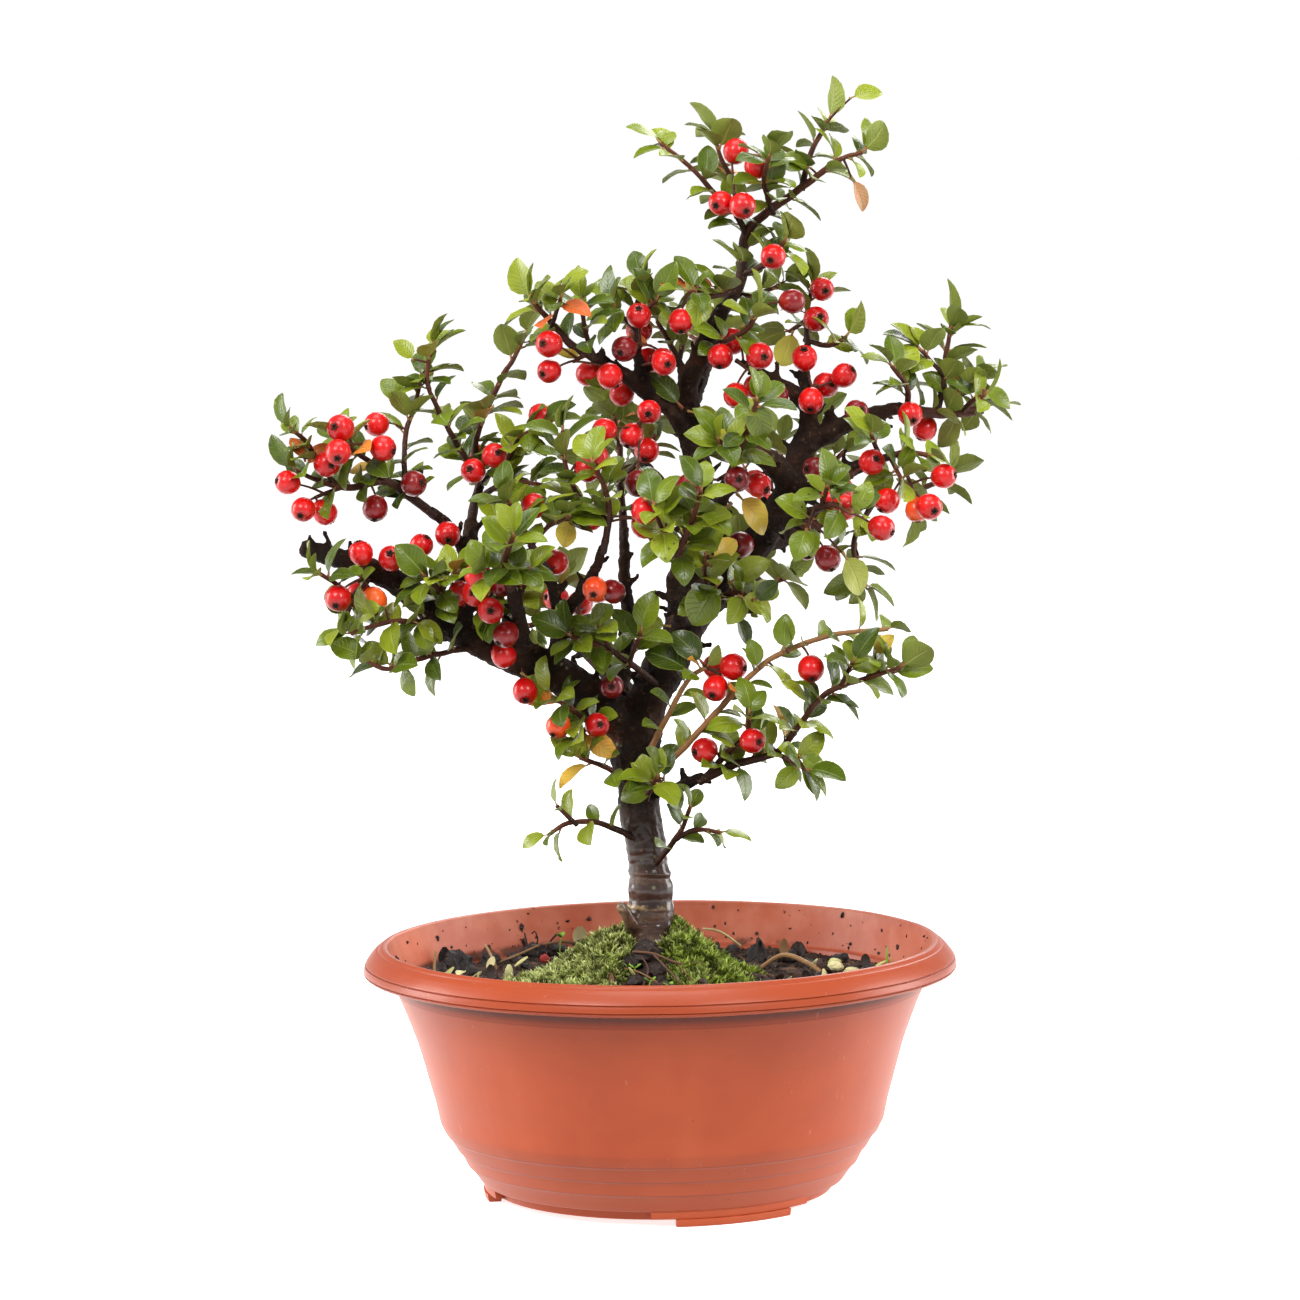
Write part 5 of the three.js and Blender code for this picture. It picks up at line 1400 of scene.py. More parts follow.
def seatedDepth(across, up, depth, radius, reach):
    # along the line of sight, the depth where a thing is clear of the wood and nearest to it
    best = None
    for shift in depthTries:
        point = placed((across, up, depth + shift))
        gap, k, spot = twigCrowd.nearest(point)
        if crowd.gap(point) < radius:
            continue
        cost = gap + 0.25 * abs(shift)
        if gap < reach and (best is None or cost < best[0]):
            best = (cost, point, spot, k)
    return best


def pickedLeafData():
    found = []
    for number, (x, up, tipX, tipUp, depth, shape, tone) in enumerate(pickedLeaves):
        seat = seatedDepth(x, up, depth, 0.5, 26)
        if seat is None:
            continue
        base, hub, k = seat[1:]
        flat = placed((tipX, tipUp, base.y)) - placed((x, up, base.y))
        lean = 5.0 * (chance(number, 1, 2, 3) - 0.35)
        span = flat + Vector((0, -lean, 0))
        along = span.normalized()
        face = Vector((0.15, -1, 0.75)) + Vector((chance(number, 3, 1, 1) - 0.5, 0, 0)) * 0.7
        face = (face - along * face.dot(along)).normalized()
        found.append({
            "base": base, "along": along, "face": face, "length": span.length * 1.14, "hub": hub,
            "kind": pickedShapes[shape], "tone": pickedTones[tone], "owner": twigOwners[k]})
    return found


def leafShape(name, bend, fold, cup, width, widest, wave, twist):
    # a closed thin blade along Y with its face up, of length 1, on a short stalk
    stations = [0.0, 0.1, 0.26, 0.44, 0.62, 0.79, 0.92, 1.0]
    lanes = [-1.0, -0.55, 0.0, 0.55, 1.0]
    stalk = 0.13
    corners = []

    def spotOf(share, lane, lift):
        reach = stalk + (1 - stalk) * share
        bent = bend * reach
        middle = Vector((0, math.sin(bent) / bend, -(1 - math.cos(bent)) / bend))
        up = Vector((0, math.sin(bent), math.cos(bent)))
        half = width * math.sin(math.pi * share ** widest) ** 0.78 if 0 < share < 1 else 0.0
        across = lane * half
        rise = abs(lane) * half * fold + cup * lane * lane * half + lift
        rise += wave * half * math.sin(share * 9 + (1.3 if lane > 0 else 0)) * lane * lane
        turn = twist * (share - 0.3)
        return middle + Vector((math.cos(turn), 0, 0)) * across + up * (rise + math.sin(turn) * across)

    faces = []
    faceUnder = []
    faceUvs = []
    grid = {}
    thickness = 0.022

    def corner(row, lane, side):
        share = stations[row]
        rim = abs(lanes[lane]) == 1 or share in (0.0, 1.0)
        key = (row, 2 if share in (0.0, 1.0) else lane, 0 if rim else side)
        if key not in grid:
            grid[key] = len(corners)
            corners.append(spotOf(share, lanes[lane], 0 if rim else side * thickness * 0.5))
        return grid[key]

    for side in (1, -1):
        for row in range(len(stations) - 1):
            for lane in range(len(lanes) - 1):
                quad = [(row, lane), (row, lane + 1), (row + 1, lane + 1), (row + 1, lane)]
                if side < 0:
                    quad = quad[::-1]
                face = []
                uv = []
                for r, l in quad:
                    k = corner(r, l, side)
                    if k not in face:
                        face.append(k)
                        uv.append((0.5 + lanes[l] * 0.5, stations[r]))
                if len(face) > 2:
                    faces.append(face)
                    faceUvs.append(uv)
                    faceUnder.append(0.0 if side > 0 else 1.0)
    start = len(corners)
    stalkRows = [(-0.02, 0.045), (stalk * 0.55, 0.032), (stalk + 0.05, 0.02)]
    for reach, radius in stalkRows:
        bent = bend * max(reach, 0)
        middle = Vector((0, reach if reach < 0 else math.sin(bent) / bend, -(1 - math.cos(bent)) / bend))
        for j in range(4):
            turn = j / 4 * math.tau
            corners.append(middle + Vector((math.cos(turn) * radius, 0, math.sin(turn) * radius)))
    for row in range(2):
        for j in range(4):
            a, b = start + row * 4 + j, start + row * 4 + (j + 1) % 4
            faces.append([a, a + 4, b + 4, b])
            faceUvs.append([(0.5, -0.5)] * 4)
            faceUnder.append(0.0)
    for cap in ([start, start + 1, start + 2, start + 3], [start + 11, start + 10, start + 9, start + 8]):
        faces.append(cap)
        faceUvs.append([(0.5, -0.5)] * 4)
        faceUnder.append(0.0)
    mesh = makeMesh(name, corners, faces)
    layer = mesh.uv_layers.new(name="leafMap")
    layer.data.foreach_set("uv", np.array([uv for face in faceUvs for uv in face], np.float32).ravel())
    writeValues(mesh, "under", faceUnder, domain="FACE")
    sharp = mesh.attributes.new("sharp_edge", "BOOLEAN", "EDGE")
    endRows = (0, len(stations) - 1)
    rimCorners = {k for (row, lane, side), k in grid.items() if lane in (0, 4) or row in endRows}
    sharp.data.foreach_set("value", [
        edge.vertices[0] in rimCorners and edge.vertices[1] in rimCorners for edge in mesh.edges])
    return mesh


leafShapes = [  # bend, fold, cup, half width, widest place, wave, twist
    ("leafA", 0.75, 0.20, 0.05, 0.300, 0.86, 0.05, 0.15),
    ("leafB", 0.62, 0.34, 0.04, 0.235, 0.92, 0.06, -0.25),
    ("leafC", 1.05, 0.16, -0.10, 0.285, 0.90, 0.08, 0.30),
    ("leafD", 0.58, 0.12, 0.16, 0.355, 0.80, 0.07, -0.10),
    ("leafE", 0.90, 0.26, 0.10, 0.270, 0.96, 0.12, -0.45),
    ("leafF", 0.42, 0.42, 0.00, 0.262, 0.84, 0.05, 0.35),
    ("leafG", 1.25, 0.10, -0.16, 0.300, 0.82, 0.10, 0.10),
]


def leafFinish():
    def build(board):
        place = board.add("ShaderNodeUVMap", {"uv_map": "leafMap"})
        across, up = board.parts(place, "X"), board.parts(place, "Y")
        side = abs(across - 0.5) * 2
        tone, age, under = board.attribute("tone"), board.attribute("age"), board.attribute("under")
        patch = board.cloud(190, 3)
        green = board.ramp(tone + (patch - 0.5) * 0.3, [
            (0.0, (36, 50, 6)), (0.3, (72, 90, 10)), (0.6, (110, 126, 16)),
            (0.85, (138, 148, 34)), (1.0, (166, 168, 70))])
        turned = board.ramp(age + (patch - 0.5) * 0.18, [
            (0.0, (120, 140, 50)), (0.35, (190, 178, 62)), (0.6, (208, 132, 44)),
            (0.8, (206, 92, 34)), (1.0, (172, 128, 84))])
        blade = board.blend((age + (side - 0.5) * 0.3 * age).step(0.04, 0.3), green, turned)
        vein = ((up * 8.5 - side * 2.2).fraction() - 0.5)
        vein = abs(vein).step(0.10, 0.02) * side.step(0.04, 0.2) * side.step(1.0, 0.8)
        middle = side.step(0.09, 0.02)
        blade = blade.tint((vein * 0.12, 140, 160, 80), (middle * 0.26, 160, 172, 98))
        margin = side.step(0.9, 0.99) * 0.35
        blade = blade.tint((margin, 168, 166, 88))
        spots = board.cells(270).step(0.15, 0.08) * board.cloud(60, 2).step(0.55, 0.62)
        blade = blade.tint((spots * 0.8, 44, 28, 18))
        pale = board.blend(patch, (110, 122, 44), (146, 154, 68))
        pale = pale.tint((middle * 0.5, 182, 184, 110))
        pale = board.blend((age * 1.2).step(0.2, 0.7) * 0.7, pale, turned)
        blade = board.blend(under * 0.8, blade, pale)
        stalk = up.step(-0.1, -0.4)
        blade = board.blend(stalk, blade, board.blend(tone, (128, 66, 44), (150, 120, 56)))
        relief = vein * 0.6 - middle * 0.8 + patch * 0.6
        return {
            "base": blade,
            "roughness": 0.22 + under * 0.33 + patch * 0.14 + age * 0.2,
            "normal": board.bump(relief, 0.2),
        }
    return makeFinish("cotoneasterLeaf", build, specular=0.38)


def twigFinish():
    def build(board):
        young = board.attribute("young")
        patch = board.cloud(150, 3)
        fine = board.cloud(800, 3)
        bark = board.ramp(young + (patch - 0.5) * 0.35, [
            (0.0, (26, 16, 11)), (0.35, (48, 28, 20)), (0.7, (84, 44, 28)),
            (1.0, (150, 108, 70))])
        bark = bark.tint((fine.step(0.6, 0.72) * 0.3, 138, 108, 84))
        lenticels = board.cells(520).step(0.14, 0.07)
        bark = bark.tint((lenticels * 0.4, 160, 130, 102))
        return {
            "base": bark,
            "roughness": 0.48 + patch * 0.3,
            "normal": board.bump(fine + patch * 0.5, 0.18),
        }
    return makeFinish("youngTwig", build, specular=0.2)


# Berries

berry = {
    "radius": 4.5, "gap": 0.35, "depthStep": 1.5, "depthSteps": 17, "stemShare": 0.75,
    "stemRadius": 0.75, "stemSides": 6, "stalkRadius": 0.42, "longestStalk": 26,
    "around": 16, "rows": [0.10, 0.24, 0.38, 0.52, 0.66, 0.79, 0.9],
}

moreBerries = [  # across, up, depth and tone: berries that show between the bunches
    (-93, 233, -34, "dark"), (-80, 241, -28, "dark"), (-88, 216, -30, "red"), (-40, 233, -30, "red"),
    (-14, 204, -30, "dark"), (-20, 205, -32, "orange"), (-33, 214, -24, "red"), (-21, 229, -34, "red"),
    (-3, 231, -30, "red"), (1, 232, -28, "dark"), (-3, 226, -34, "red"), (41, 315, -8, "red"),
    (47, 300, -16, "dark"), (57, 304, -8, "red"), (55, 294, -10, "red"), (10, 294, -14, "red"),
    (54, 244, -26, "dark"), (29, 219, -24, "dark"), (58, 214, -36, "dark"), (51, 218, -30, "dark"),
    (68, 263, -22, "dark"), (76, 224, -40, "red"), (52, 177, -36, "red"), (-33, 159, -20, "orange"),
    (-44, 171, -24, "red"), (-20, 159, -14, "red"), (-15, 172, -22, "dark"), (-19, 249, -30, "red"),
    (-22, 245, -26, "red"), (36, 345, -6, "red"), (-50, 190, -26, "dark"), (4, 280, -22, "red"),
    (-37, 263, -10, "red"), (-90, 253, -26, "orange"), (-69, 224, -18, "red"), (-78, 220, -16, "red"),
    (86, 262, -16, "red"), (91, 257, -14, "red"), (-109, 248, -28, "red"), (-92, 261, -26, "red"),
    (-99, 204, -34, "red"), (-58, 250, -2, "red"), (-65, 204, -26, "red"), (-59, 210, -34, "red"),
    (-46, 210, -34, "red"), (-21, 277, -20, "red"), (-10, 270, -18, "red"), (-4, 291, -16, "red"),
    (-1, 281, -10, "red"), (-2, 251, -14, "red"), (23, 282, -14, "red"), (35, 272, -22, "red"),
    (58, 272, -14, "red"), (35, 239, -46, "red"), (64, 231, -40, "red"), (63, 237, -32, "red"),
    (92, 231, -40, "red"), (20, 178, -28, "red"),
]
berryTones = {"red": 0.5, "dark": 0.12, "orange": 0.88}
orangeBerries = {"bough": [0], "left_bough_end": [1], "right_end": [1]}
darkBerries = {"middle": [2], "upper_stub": [1], "centre_right": [0, 1], "bough": [3], "leader": [2]}


def berryShape(name, squeeze, dip):
    # a slightly pear shaped ball along Z, stalk end down, with a dimple and a five pointed dry star
    corners = [Vector((0, 0, -0.98))]
    around = berry["around"]
    rings = []
    for share in berry["rows"]:
        turn = math.pi * share
        radius = math.sin(turn) * (1 + squeeze * math.cos(turn * 0.9 + 2.6) * 0.5)
        height = -math.cos(turn) * (1.02 if share < 0.5 else 0.99)
        rings.append((radius, height))
    rings.extend([(0.2, 0.93 - dip * 0.2), (0.1, 0.93 - dip)])
    for radius, height in rings:
        for k in range(around):
            turn = k / around * math.tau
            lobes = 1 + 0.02 * math.cos(5 * turn) * smoothStep(0.2, 0.95, height)
            corners.append(onRing(radius * lobes, turn, height))
    faces = [[0, 1 + (k + 1) % around, 1 + k] for k in range(around)]
    wall = [[1 + k for k in face] for face in ringFaces(len(rings), around)]
    faces.extend([*wall[:-2], wall[-1]])
    calyx = [0.0] * (len(faces) - 1 - around) + [1.0] * (around + 1)
    for k in range(5):  # the star's points curl up from the dimple
        turn = (k + 0.15) / 5 * math.tau
        out = Vector((math.cos(turn), math.sin(turn), 0))
        side = Vector((-out.y, out.x, 0)) * 0.105
        root = out * 0.07 + upward * (0.92 - dip * 0.6)
        bend = out * 0.2 + upward * 0.985
        tip = out * 0.36 + upward * 0.955
        thick = upward * 0.03
        start = len(corners)
        corners.extend([root - side, root + side, bend + side * 0.8 + thick, bend - side * 0.8 + thick, tip,
                        root - thick, bend - thick * 0.5])
        faces.extend([[start, start + 1, start + 2, start + 3], [start + 3, start + 2, start + 4],
                      [start + 1, start, start + 5], [start, start + 3, start + 6, start + 5],
                      [start + 2, start + 1, start + 5, start + 6], [start + 3, start + 4, start + 6],
                      [start + 4, start + 2, start + 6]])
        calyx.extend([1.0] * 7)
    mesh = makeMesh(name, corners, faces)
    writeValues(mesh, "calyx", calyx, domain="FACE")
    writeValues(mesh, "rise", [clamp(corner.z * 0.5 + 0.5) for corner in corners])
    return mesh


def berryFinish():
    def build(board):
        tone, calyx, rise = board.attribute("tone"), board.attribute("calyx"), board.attribute("rise")
        patch = board.cloud(150, 3)
        skin = board.ramp(tone + (patch - 0.5) * 0.16, [
            (0.0, (96, 2, 6)), (0.2, (132, 4, 8)), (0.45, (194, 6, 8)),
            (0.6, (214, 14, 12)), (0.85, (230, 54, 18)), (1.0, (240, 104, 34))])
        skin = skin.tint(
            (rise.step(0.35, 0.0) * 0.3, 214, 48, 28), (rise.step(0.82, 1.0) * 0.45, 110, 8, 14))
        freckles = board.cells(640).step(0.09, 0.05) * 0.35
        skin = skin.tint((freckles, 232, 110, 76))
        dry = board.blend(patch, (38, 20, 16), (84, 52, 36))
        return {
            "base": board.blend(calyx, skin, dry),
            "roughness": 0.33 + calyx * 0.45 + patch * 0.1,
            "coat": 0.28 - calyx * 0.28,
            "normal": board.bump(board.cloud(300, 2), 0.04),
        }
    return makeFinish("berrySkin", build, specular=0.28, coatRoughness=0.08)


# One tree makes a spray: tubes along the stems, and a leaf or berry at each loose point


def sprayTree():
    board = Tree("spray", {"Stem finish": "Material", "Sides": "Int"})
    given, stored = board.given, board.stored
    lines = board.add("GeometryNodeMeshToCurve", sockets={"Mesh": given("Geometry")})
    thick = board.add("GeometryNodeSetCurveRadius", sockets={"Curve": lines, "Radius": stored("thick")})
    section = board.add("GeometryNodeCurvePrimitiveCircle", sockets={
        "Resolution": given("Sides"), "Radius": 1.0})
    sweep = board.tree.nodes.new("GeometryNodeCurveToMesh")
    board.feed(sweep.inputs["Curve"], thick)
    board.feed(sweep.inputs["Profile Curve"], section)
    sweep.inputs["Fill Caps"].default_value = True
    if "Scale" in sweep.inputs:
        board.feed(sweep.inputs["Scale"], stored("thick"))
    stems = board.painted(Wire(board, sweep.outputs[0]), "Stem finish")
    turn = board.add("FunctionNodeAxesToRotation", {"primary_axis": "Z", "secondary_axis": "Y"}, {
        "Primary Axis": stored("facing", "FLOAT_VECTOR"), "Secondary Axis": stored("along", "FLOAT_VECTOR")})
    solid = board.copies(given("Geometry"), turn, stored("size"), **{
        "Selection": stored("holds", "BOOLEAN"), "Instance Index": stored("kind", "INT")})
    return board.finished(board.both(board.painted(solid), stems))


class Spray:
    # stems as lines of (point, radius, youth), and the leaves or berries they bear
    values = {  # each point's stored values, with their kind and what a blank one holds
        "facing": ("FLOAT_VECTOR", (0, 0, 1)), "along": ("FLOAT_VECTOR", (0, 1, 0)), "thick": ("FLOAT", 0),
        "young": ("FLOAT", 0), "size": ("FLOAT", 0), "tone": ("FLOAT", 0), "age": ("FLOAT", 0),
        "kind": ("INT", 0), "holds": ("BOOLEAN", False),
    }

    def __init__(self):
        self.rows, self.edges = [], []

    def stem(self, rows):
        start = len(self.rows)
        for point, radius, young in rows:
            self.rows.append({"spot": point, "thick": radius * mm, "young": young})
        self.edges.extend([(start + k, start + k + 1) for k in range(len(rows) - 1)])

    def bear(self, spot, **values):
        self.rows.append({"spot": spot, "holds": True, **values})

    def make(self, name, tree, inputs, slotName, nodes):
        mesh = bpy.data.meshes.new(name)
        mesh.from_pydata([tuple(axis * mm for axis in row["spot"]) for row in self.rows], self.edges, [])
        for valueName, (kind, blank) in self.values.items():
            writeValues(mesh, valueName, [row.get(valueName, blank) for row in self.rows], kind)
        piece = makePiece(name, mesh)
        useTree(piece, tree, inputs)
        for valueName in self.values:
            if valueName not in ("young", "tone", "age") and valueName in piece.data.attributes:
                piece.data.attributes.remove(piece.data.attributes[valueName])
        finishPiece(piece, slotName, *nodes)


foliagePieces = {
    "foliage_far_left": ["far_left"],
    "foliage_left_tall": ["left_tall"],
    "foliage_left_bough": ["left_bough_end", "left_bough_under", "left_long_twig"],
    "foliage_bough": ["bough_cluster", "bough_inner"],
    "foliage_middle": ["middle_arm_end", "middle_fork_end", "upright_end"],
    "foliage_fork": ["fork_left", "leader_left", "limb_front"],
    "foliage_trunk": ["trunk_left_twig", "lowest_left_twig", "trunk_front", "low_right_twig", "thin_twig"],
    "foliage_front": ["front_low_end", "front_middle_end", "front_left_end", "front_right_end"],
    "foliage_upper": ["upper_left_end", "upper_stub_end", "y_twig_end", "leader_front"],
    "foliage_crown": ["crown_top"],
    "foliage_right_upright": ["right_upright_end"],
    "foliage_right_arm": ["right_arm_end"],
    "foliage_right": ["right_middle_end", "right_low_end"],
    "foliage_lower_right": ["lower_right", "tan_twig"],
    "foliage_back": ["back_upper_end", "back_right_end", "back_left_end", "back_low_end", "back_top_end"],
}
berryPieces = {
    "berries_left_end": ["far_left", "far_left_upper"],
    "berries_left_side": ["left_bough_end", "left_tall", "bough"],
    "berries_upper_side": ["upper_left", "upper_stub", "middle"],
    "berries_crown": ["top"],
    "berries_centre": ["leader", "centre_right", "right_upper"],
    "berries_right_side": ["right_middle", "right_end"],
    "berries_low": ["thin_twig", "low_right"],
    "berries_rear": ["back_left", "back_right"],
}
twigLook = {"step": 1.6, "sides": 7, "wobble": 0.35, "youngFrom": 0.25, "tan": ["tan_twig", "thin_twig"],
            "sink": 1.2, "petiole": 0.4}


def twigRows(line, shootName):
    # a twig's smooth line, swollen a little here and there, redder towards its tip
    points, radii = [placed(spot) for spot in line], [spot[3] for spot in line]
    points[0] = points[0] - (points[1] - points[0]).normalized() * twigLook["sink"]
    rows = smoothLine(points, radii, twigLook["step"])
    result = []
    for k, (point, radius) in enumerate(rows):
        share = k / (len(rows) - 1)
        swell = 1 + 0.16 * lumpy(point, 0.5, 3)
        drift = Vector((lumpy(point, 0.2, 5), lumpy(point, 0.2, 6), lumpy(point, 0.2, 7)))
        drift = drift * twigLook["wobble"] * min(1, share * 4, (1 - share) * 4)
        young = 1.0 if shootName in twigLook["tan"] else twigLook["youngFrom"] + 0.5 * share
        result.append((point + drift, radius * swell * 0.88, young))
    return result


def stalkRows(start, end, radius, young, sag):
    # a thin stalk with a slight curve
    rows = []
    count = max(3, int((end - start).length / 2))
    for k in range(count + 1):
        t = k / count
        bow = Vector((0, -0.3, 0.5)) * sag * math.sin(math.pi * t)
        rows.append((start.lerp(end, t) + bow, radius * (1.15 - 0.3 * t), young))
    return rows


def settledBerry(across, up, depth):
    # moves a berry along the line of sight to the nearest depth where it touches nothing
    centre = placed((across, up, depth))
    for step in range(1, berry["depthSteps"]):
        if crowd.gap(centre) > berry["radius"] + berry["gap"]:
            break
        side = -1 if step % 2 == 1 else 1
        centre = placed((across, up, depth + side * math.ceil(step / 2) * berry["depthStep"]))
    crowd.add(centre, centre, berry["radius"])
    return centre


berryTotal = 0


def addBerry(spray, centre, hub, tone, number):
    # the stalk enters one end, and the star at the other looks away from it
    global berryTotal
    berryTotal += 1
    away = (centre - hub).normalized()
    tilt = Vector([chance(number, berryTotal, n, 9) - 0.5 for n in (1, 2, 3)])
    away = (away + tilt * 0.8 + Vector((0, -0.42, -0.25))).normalized()
    size = berry["radius"] * (0.94 + 0.1 * chance(number, berryTotal, 4, 9))
    side = away.orthogonal().normalized()
    shade = tone + 0.16 * (chance(number, berryTotal, 5, 9) - 0.5)
    kind = int(chance(number, berryTotal, 6, 9) * 3)
    spray.bear(centre, facing=away, along=side, size=size, kind=kind, tone=shade)
    root = centre - away * size * 0.9
    spray.stem(stalkRows(hub, root, berry["stalkRadius"], 0.65, 0.8))


def makeBerries(tree, finish, stemFinish):
    shapes = shapeStore("berry", [
        berryShape("berryA", 0.16, 0.13), berryShape("berryB", 0.05, 0.1), berryShape("berryC", 0.24, 0.16)])
    settledBunches = {
        name: [settledBerry(*spot) for spot in bunch["berries"]] for name, bunch in bunches.items()}
    homes = {}
    for number, (across, up, depth, tone) in enumerate(moreBerries):
        seat = seatedDepth(across, up, depth, berry["radius"] + 0.1, berry["longestStalk"])
        if seat is None:
            continue
        centre, hub = seat[1], seat[2]
        crowd.add(centre, centre, berry["radius"])
        home = min(bunches, key=lambda name: min((centre - m).length for m in settledBunches[name]))
        homes.setdefault(home, []).append((centre, hub, berryTones[tone], number))
    for pieceName, names in berryPieces.items():
        spray = Spray()
        for number, name in enumerate(names):
            anchor = placed(bunches[name]["from"])
            centres = settledBunches[name]
            middle = sum(centres, Vector()) / len(centres)
            end = anchor.lerp(middle, berry["stemShare"])
            root = anchor - (end - anchor).normalized() * 1.2
            spray.stem(stalkRows(root, end, berry["stemRadius"], 0.5, 0.4))
            for k, centre in enumerate(centres):
                share = 0.45 + 0.5 * (k + 1) / len(centres)
                tone = berryTones["red"]
                if k in orangeBerries.get(name, []):
                    tone = berryTones["orange"]
                elif k in darkBerries.get(name, []):
                    tone = berryTones["dark"]
                addBerry(spray, centre, anchor.lerp(end, share), tone, number * 10 + k)
            for centre, hub, tone, extra in homes.get(name, []):
                addBerry(spray, centre, hub, tone, 100 + extra)
        inputs = {"Shapes": shapes, "Stem finish": stemFinish, "Finish": finish, "Sides": berry["stemSides"]}
        spray.make(pieceName, tree, inputs, "berry_skin", ["berries_" + name for name in names])


def makeFoliage(tree, finish, stemFinish):
    shapes = shapeStore("leaf", [leafShape(*numbers) for numbers in leafShapes])
    picked = pickedLeafData()
    names = list(shoots)
    total = 0
    for pieceName, shootNames in foliagePieces.items():
        spray = Spray()
        for shootName in shootNames:
            shootNumber = names.index(shootName)
            for twigNumber, line in enumerate(shoots[shootName]):
                spray.stem(twigRows(line, shootName))
                sparse = shootName in leaf["sparse"]
                for one in leavesOf([placed(spot) for spot in line], shootNumber, twigNumber, sparse):
                    draws = one["draws"]
                    kind = int(draws[7] * len(leafShapes)) % len(leafShapes)
                    tone = clamp(0.2 + 0.62 * draws[8])
                    age = 0.0 if draws[9] < 0.975 else 0.3 + 0.6 * draws[10]
                    size = one["length"] * (leaf["sparseSize"] if sparse else leaf["fullness"])
                    spray.bear(one["base"], facing=one["face"], along=one["along"], size=size, kind=kind,
                               tone=tone, age=age)
                    total += 1
            for one in picked:
                if (one["owner"] or shootNames[0]) != shootName or "used" in one:
                    continue
                if one["owner"] is None and pieceName != "foliage_front":
                    continue
                one["used"] = True
                tone, age = one["tone"]
                spray.bear(one["base"], facing=one["face"], along=one["along"], size=one["length"],
                           kind=one["kind"], tone=tone, age=age)
                end = one["base"] + one["along"] * 0.6
                spray.stem(stalkRows(one["hub"], end, twigLook["petiole"], 0.6, 0.5))
                total += 1
        inputs = {"Shapes": shapes, "Stem finish": stemFinish, "Finish": finish, "Sides": twigLook["sides"]}
        spray.make(pieceName, tree, inputs, "foliage", ["leaves_" + name for name in shootNames])
    print("leaves", total, "berries", berryTotal)


# Litter on the soil: clods, pebbles, fallen leaves, stems and specks thrown on the wall

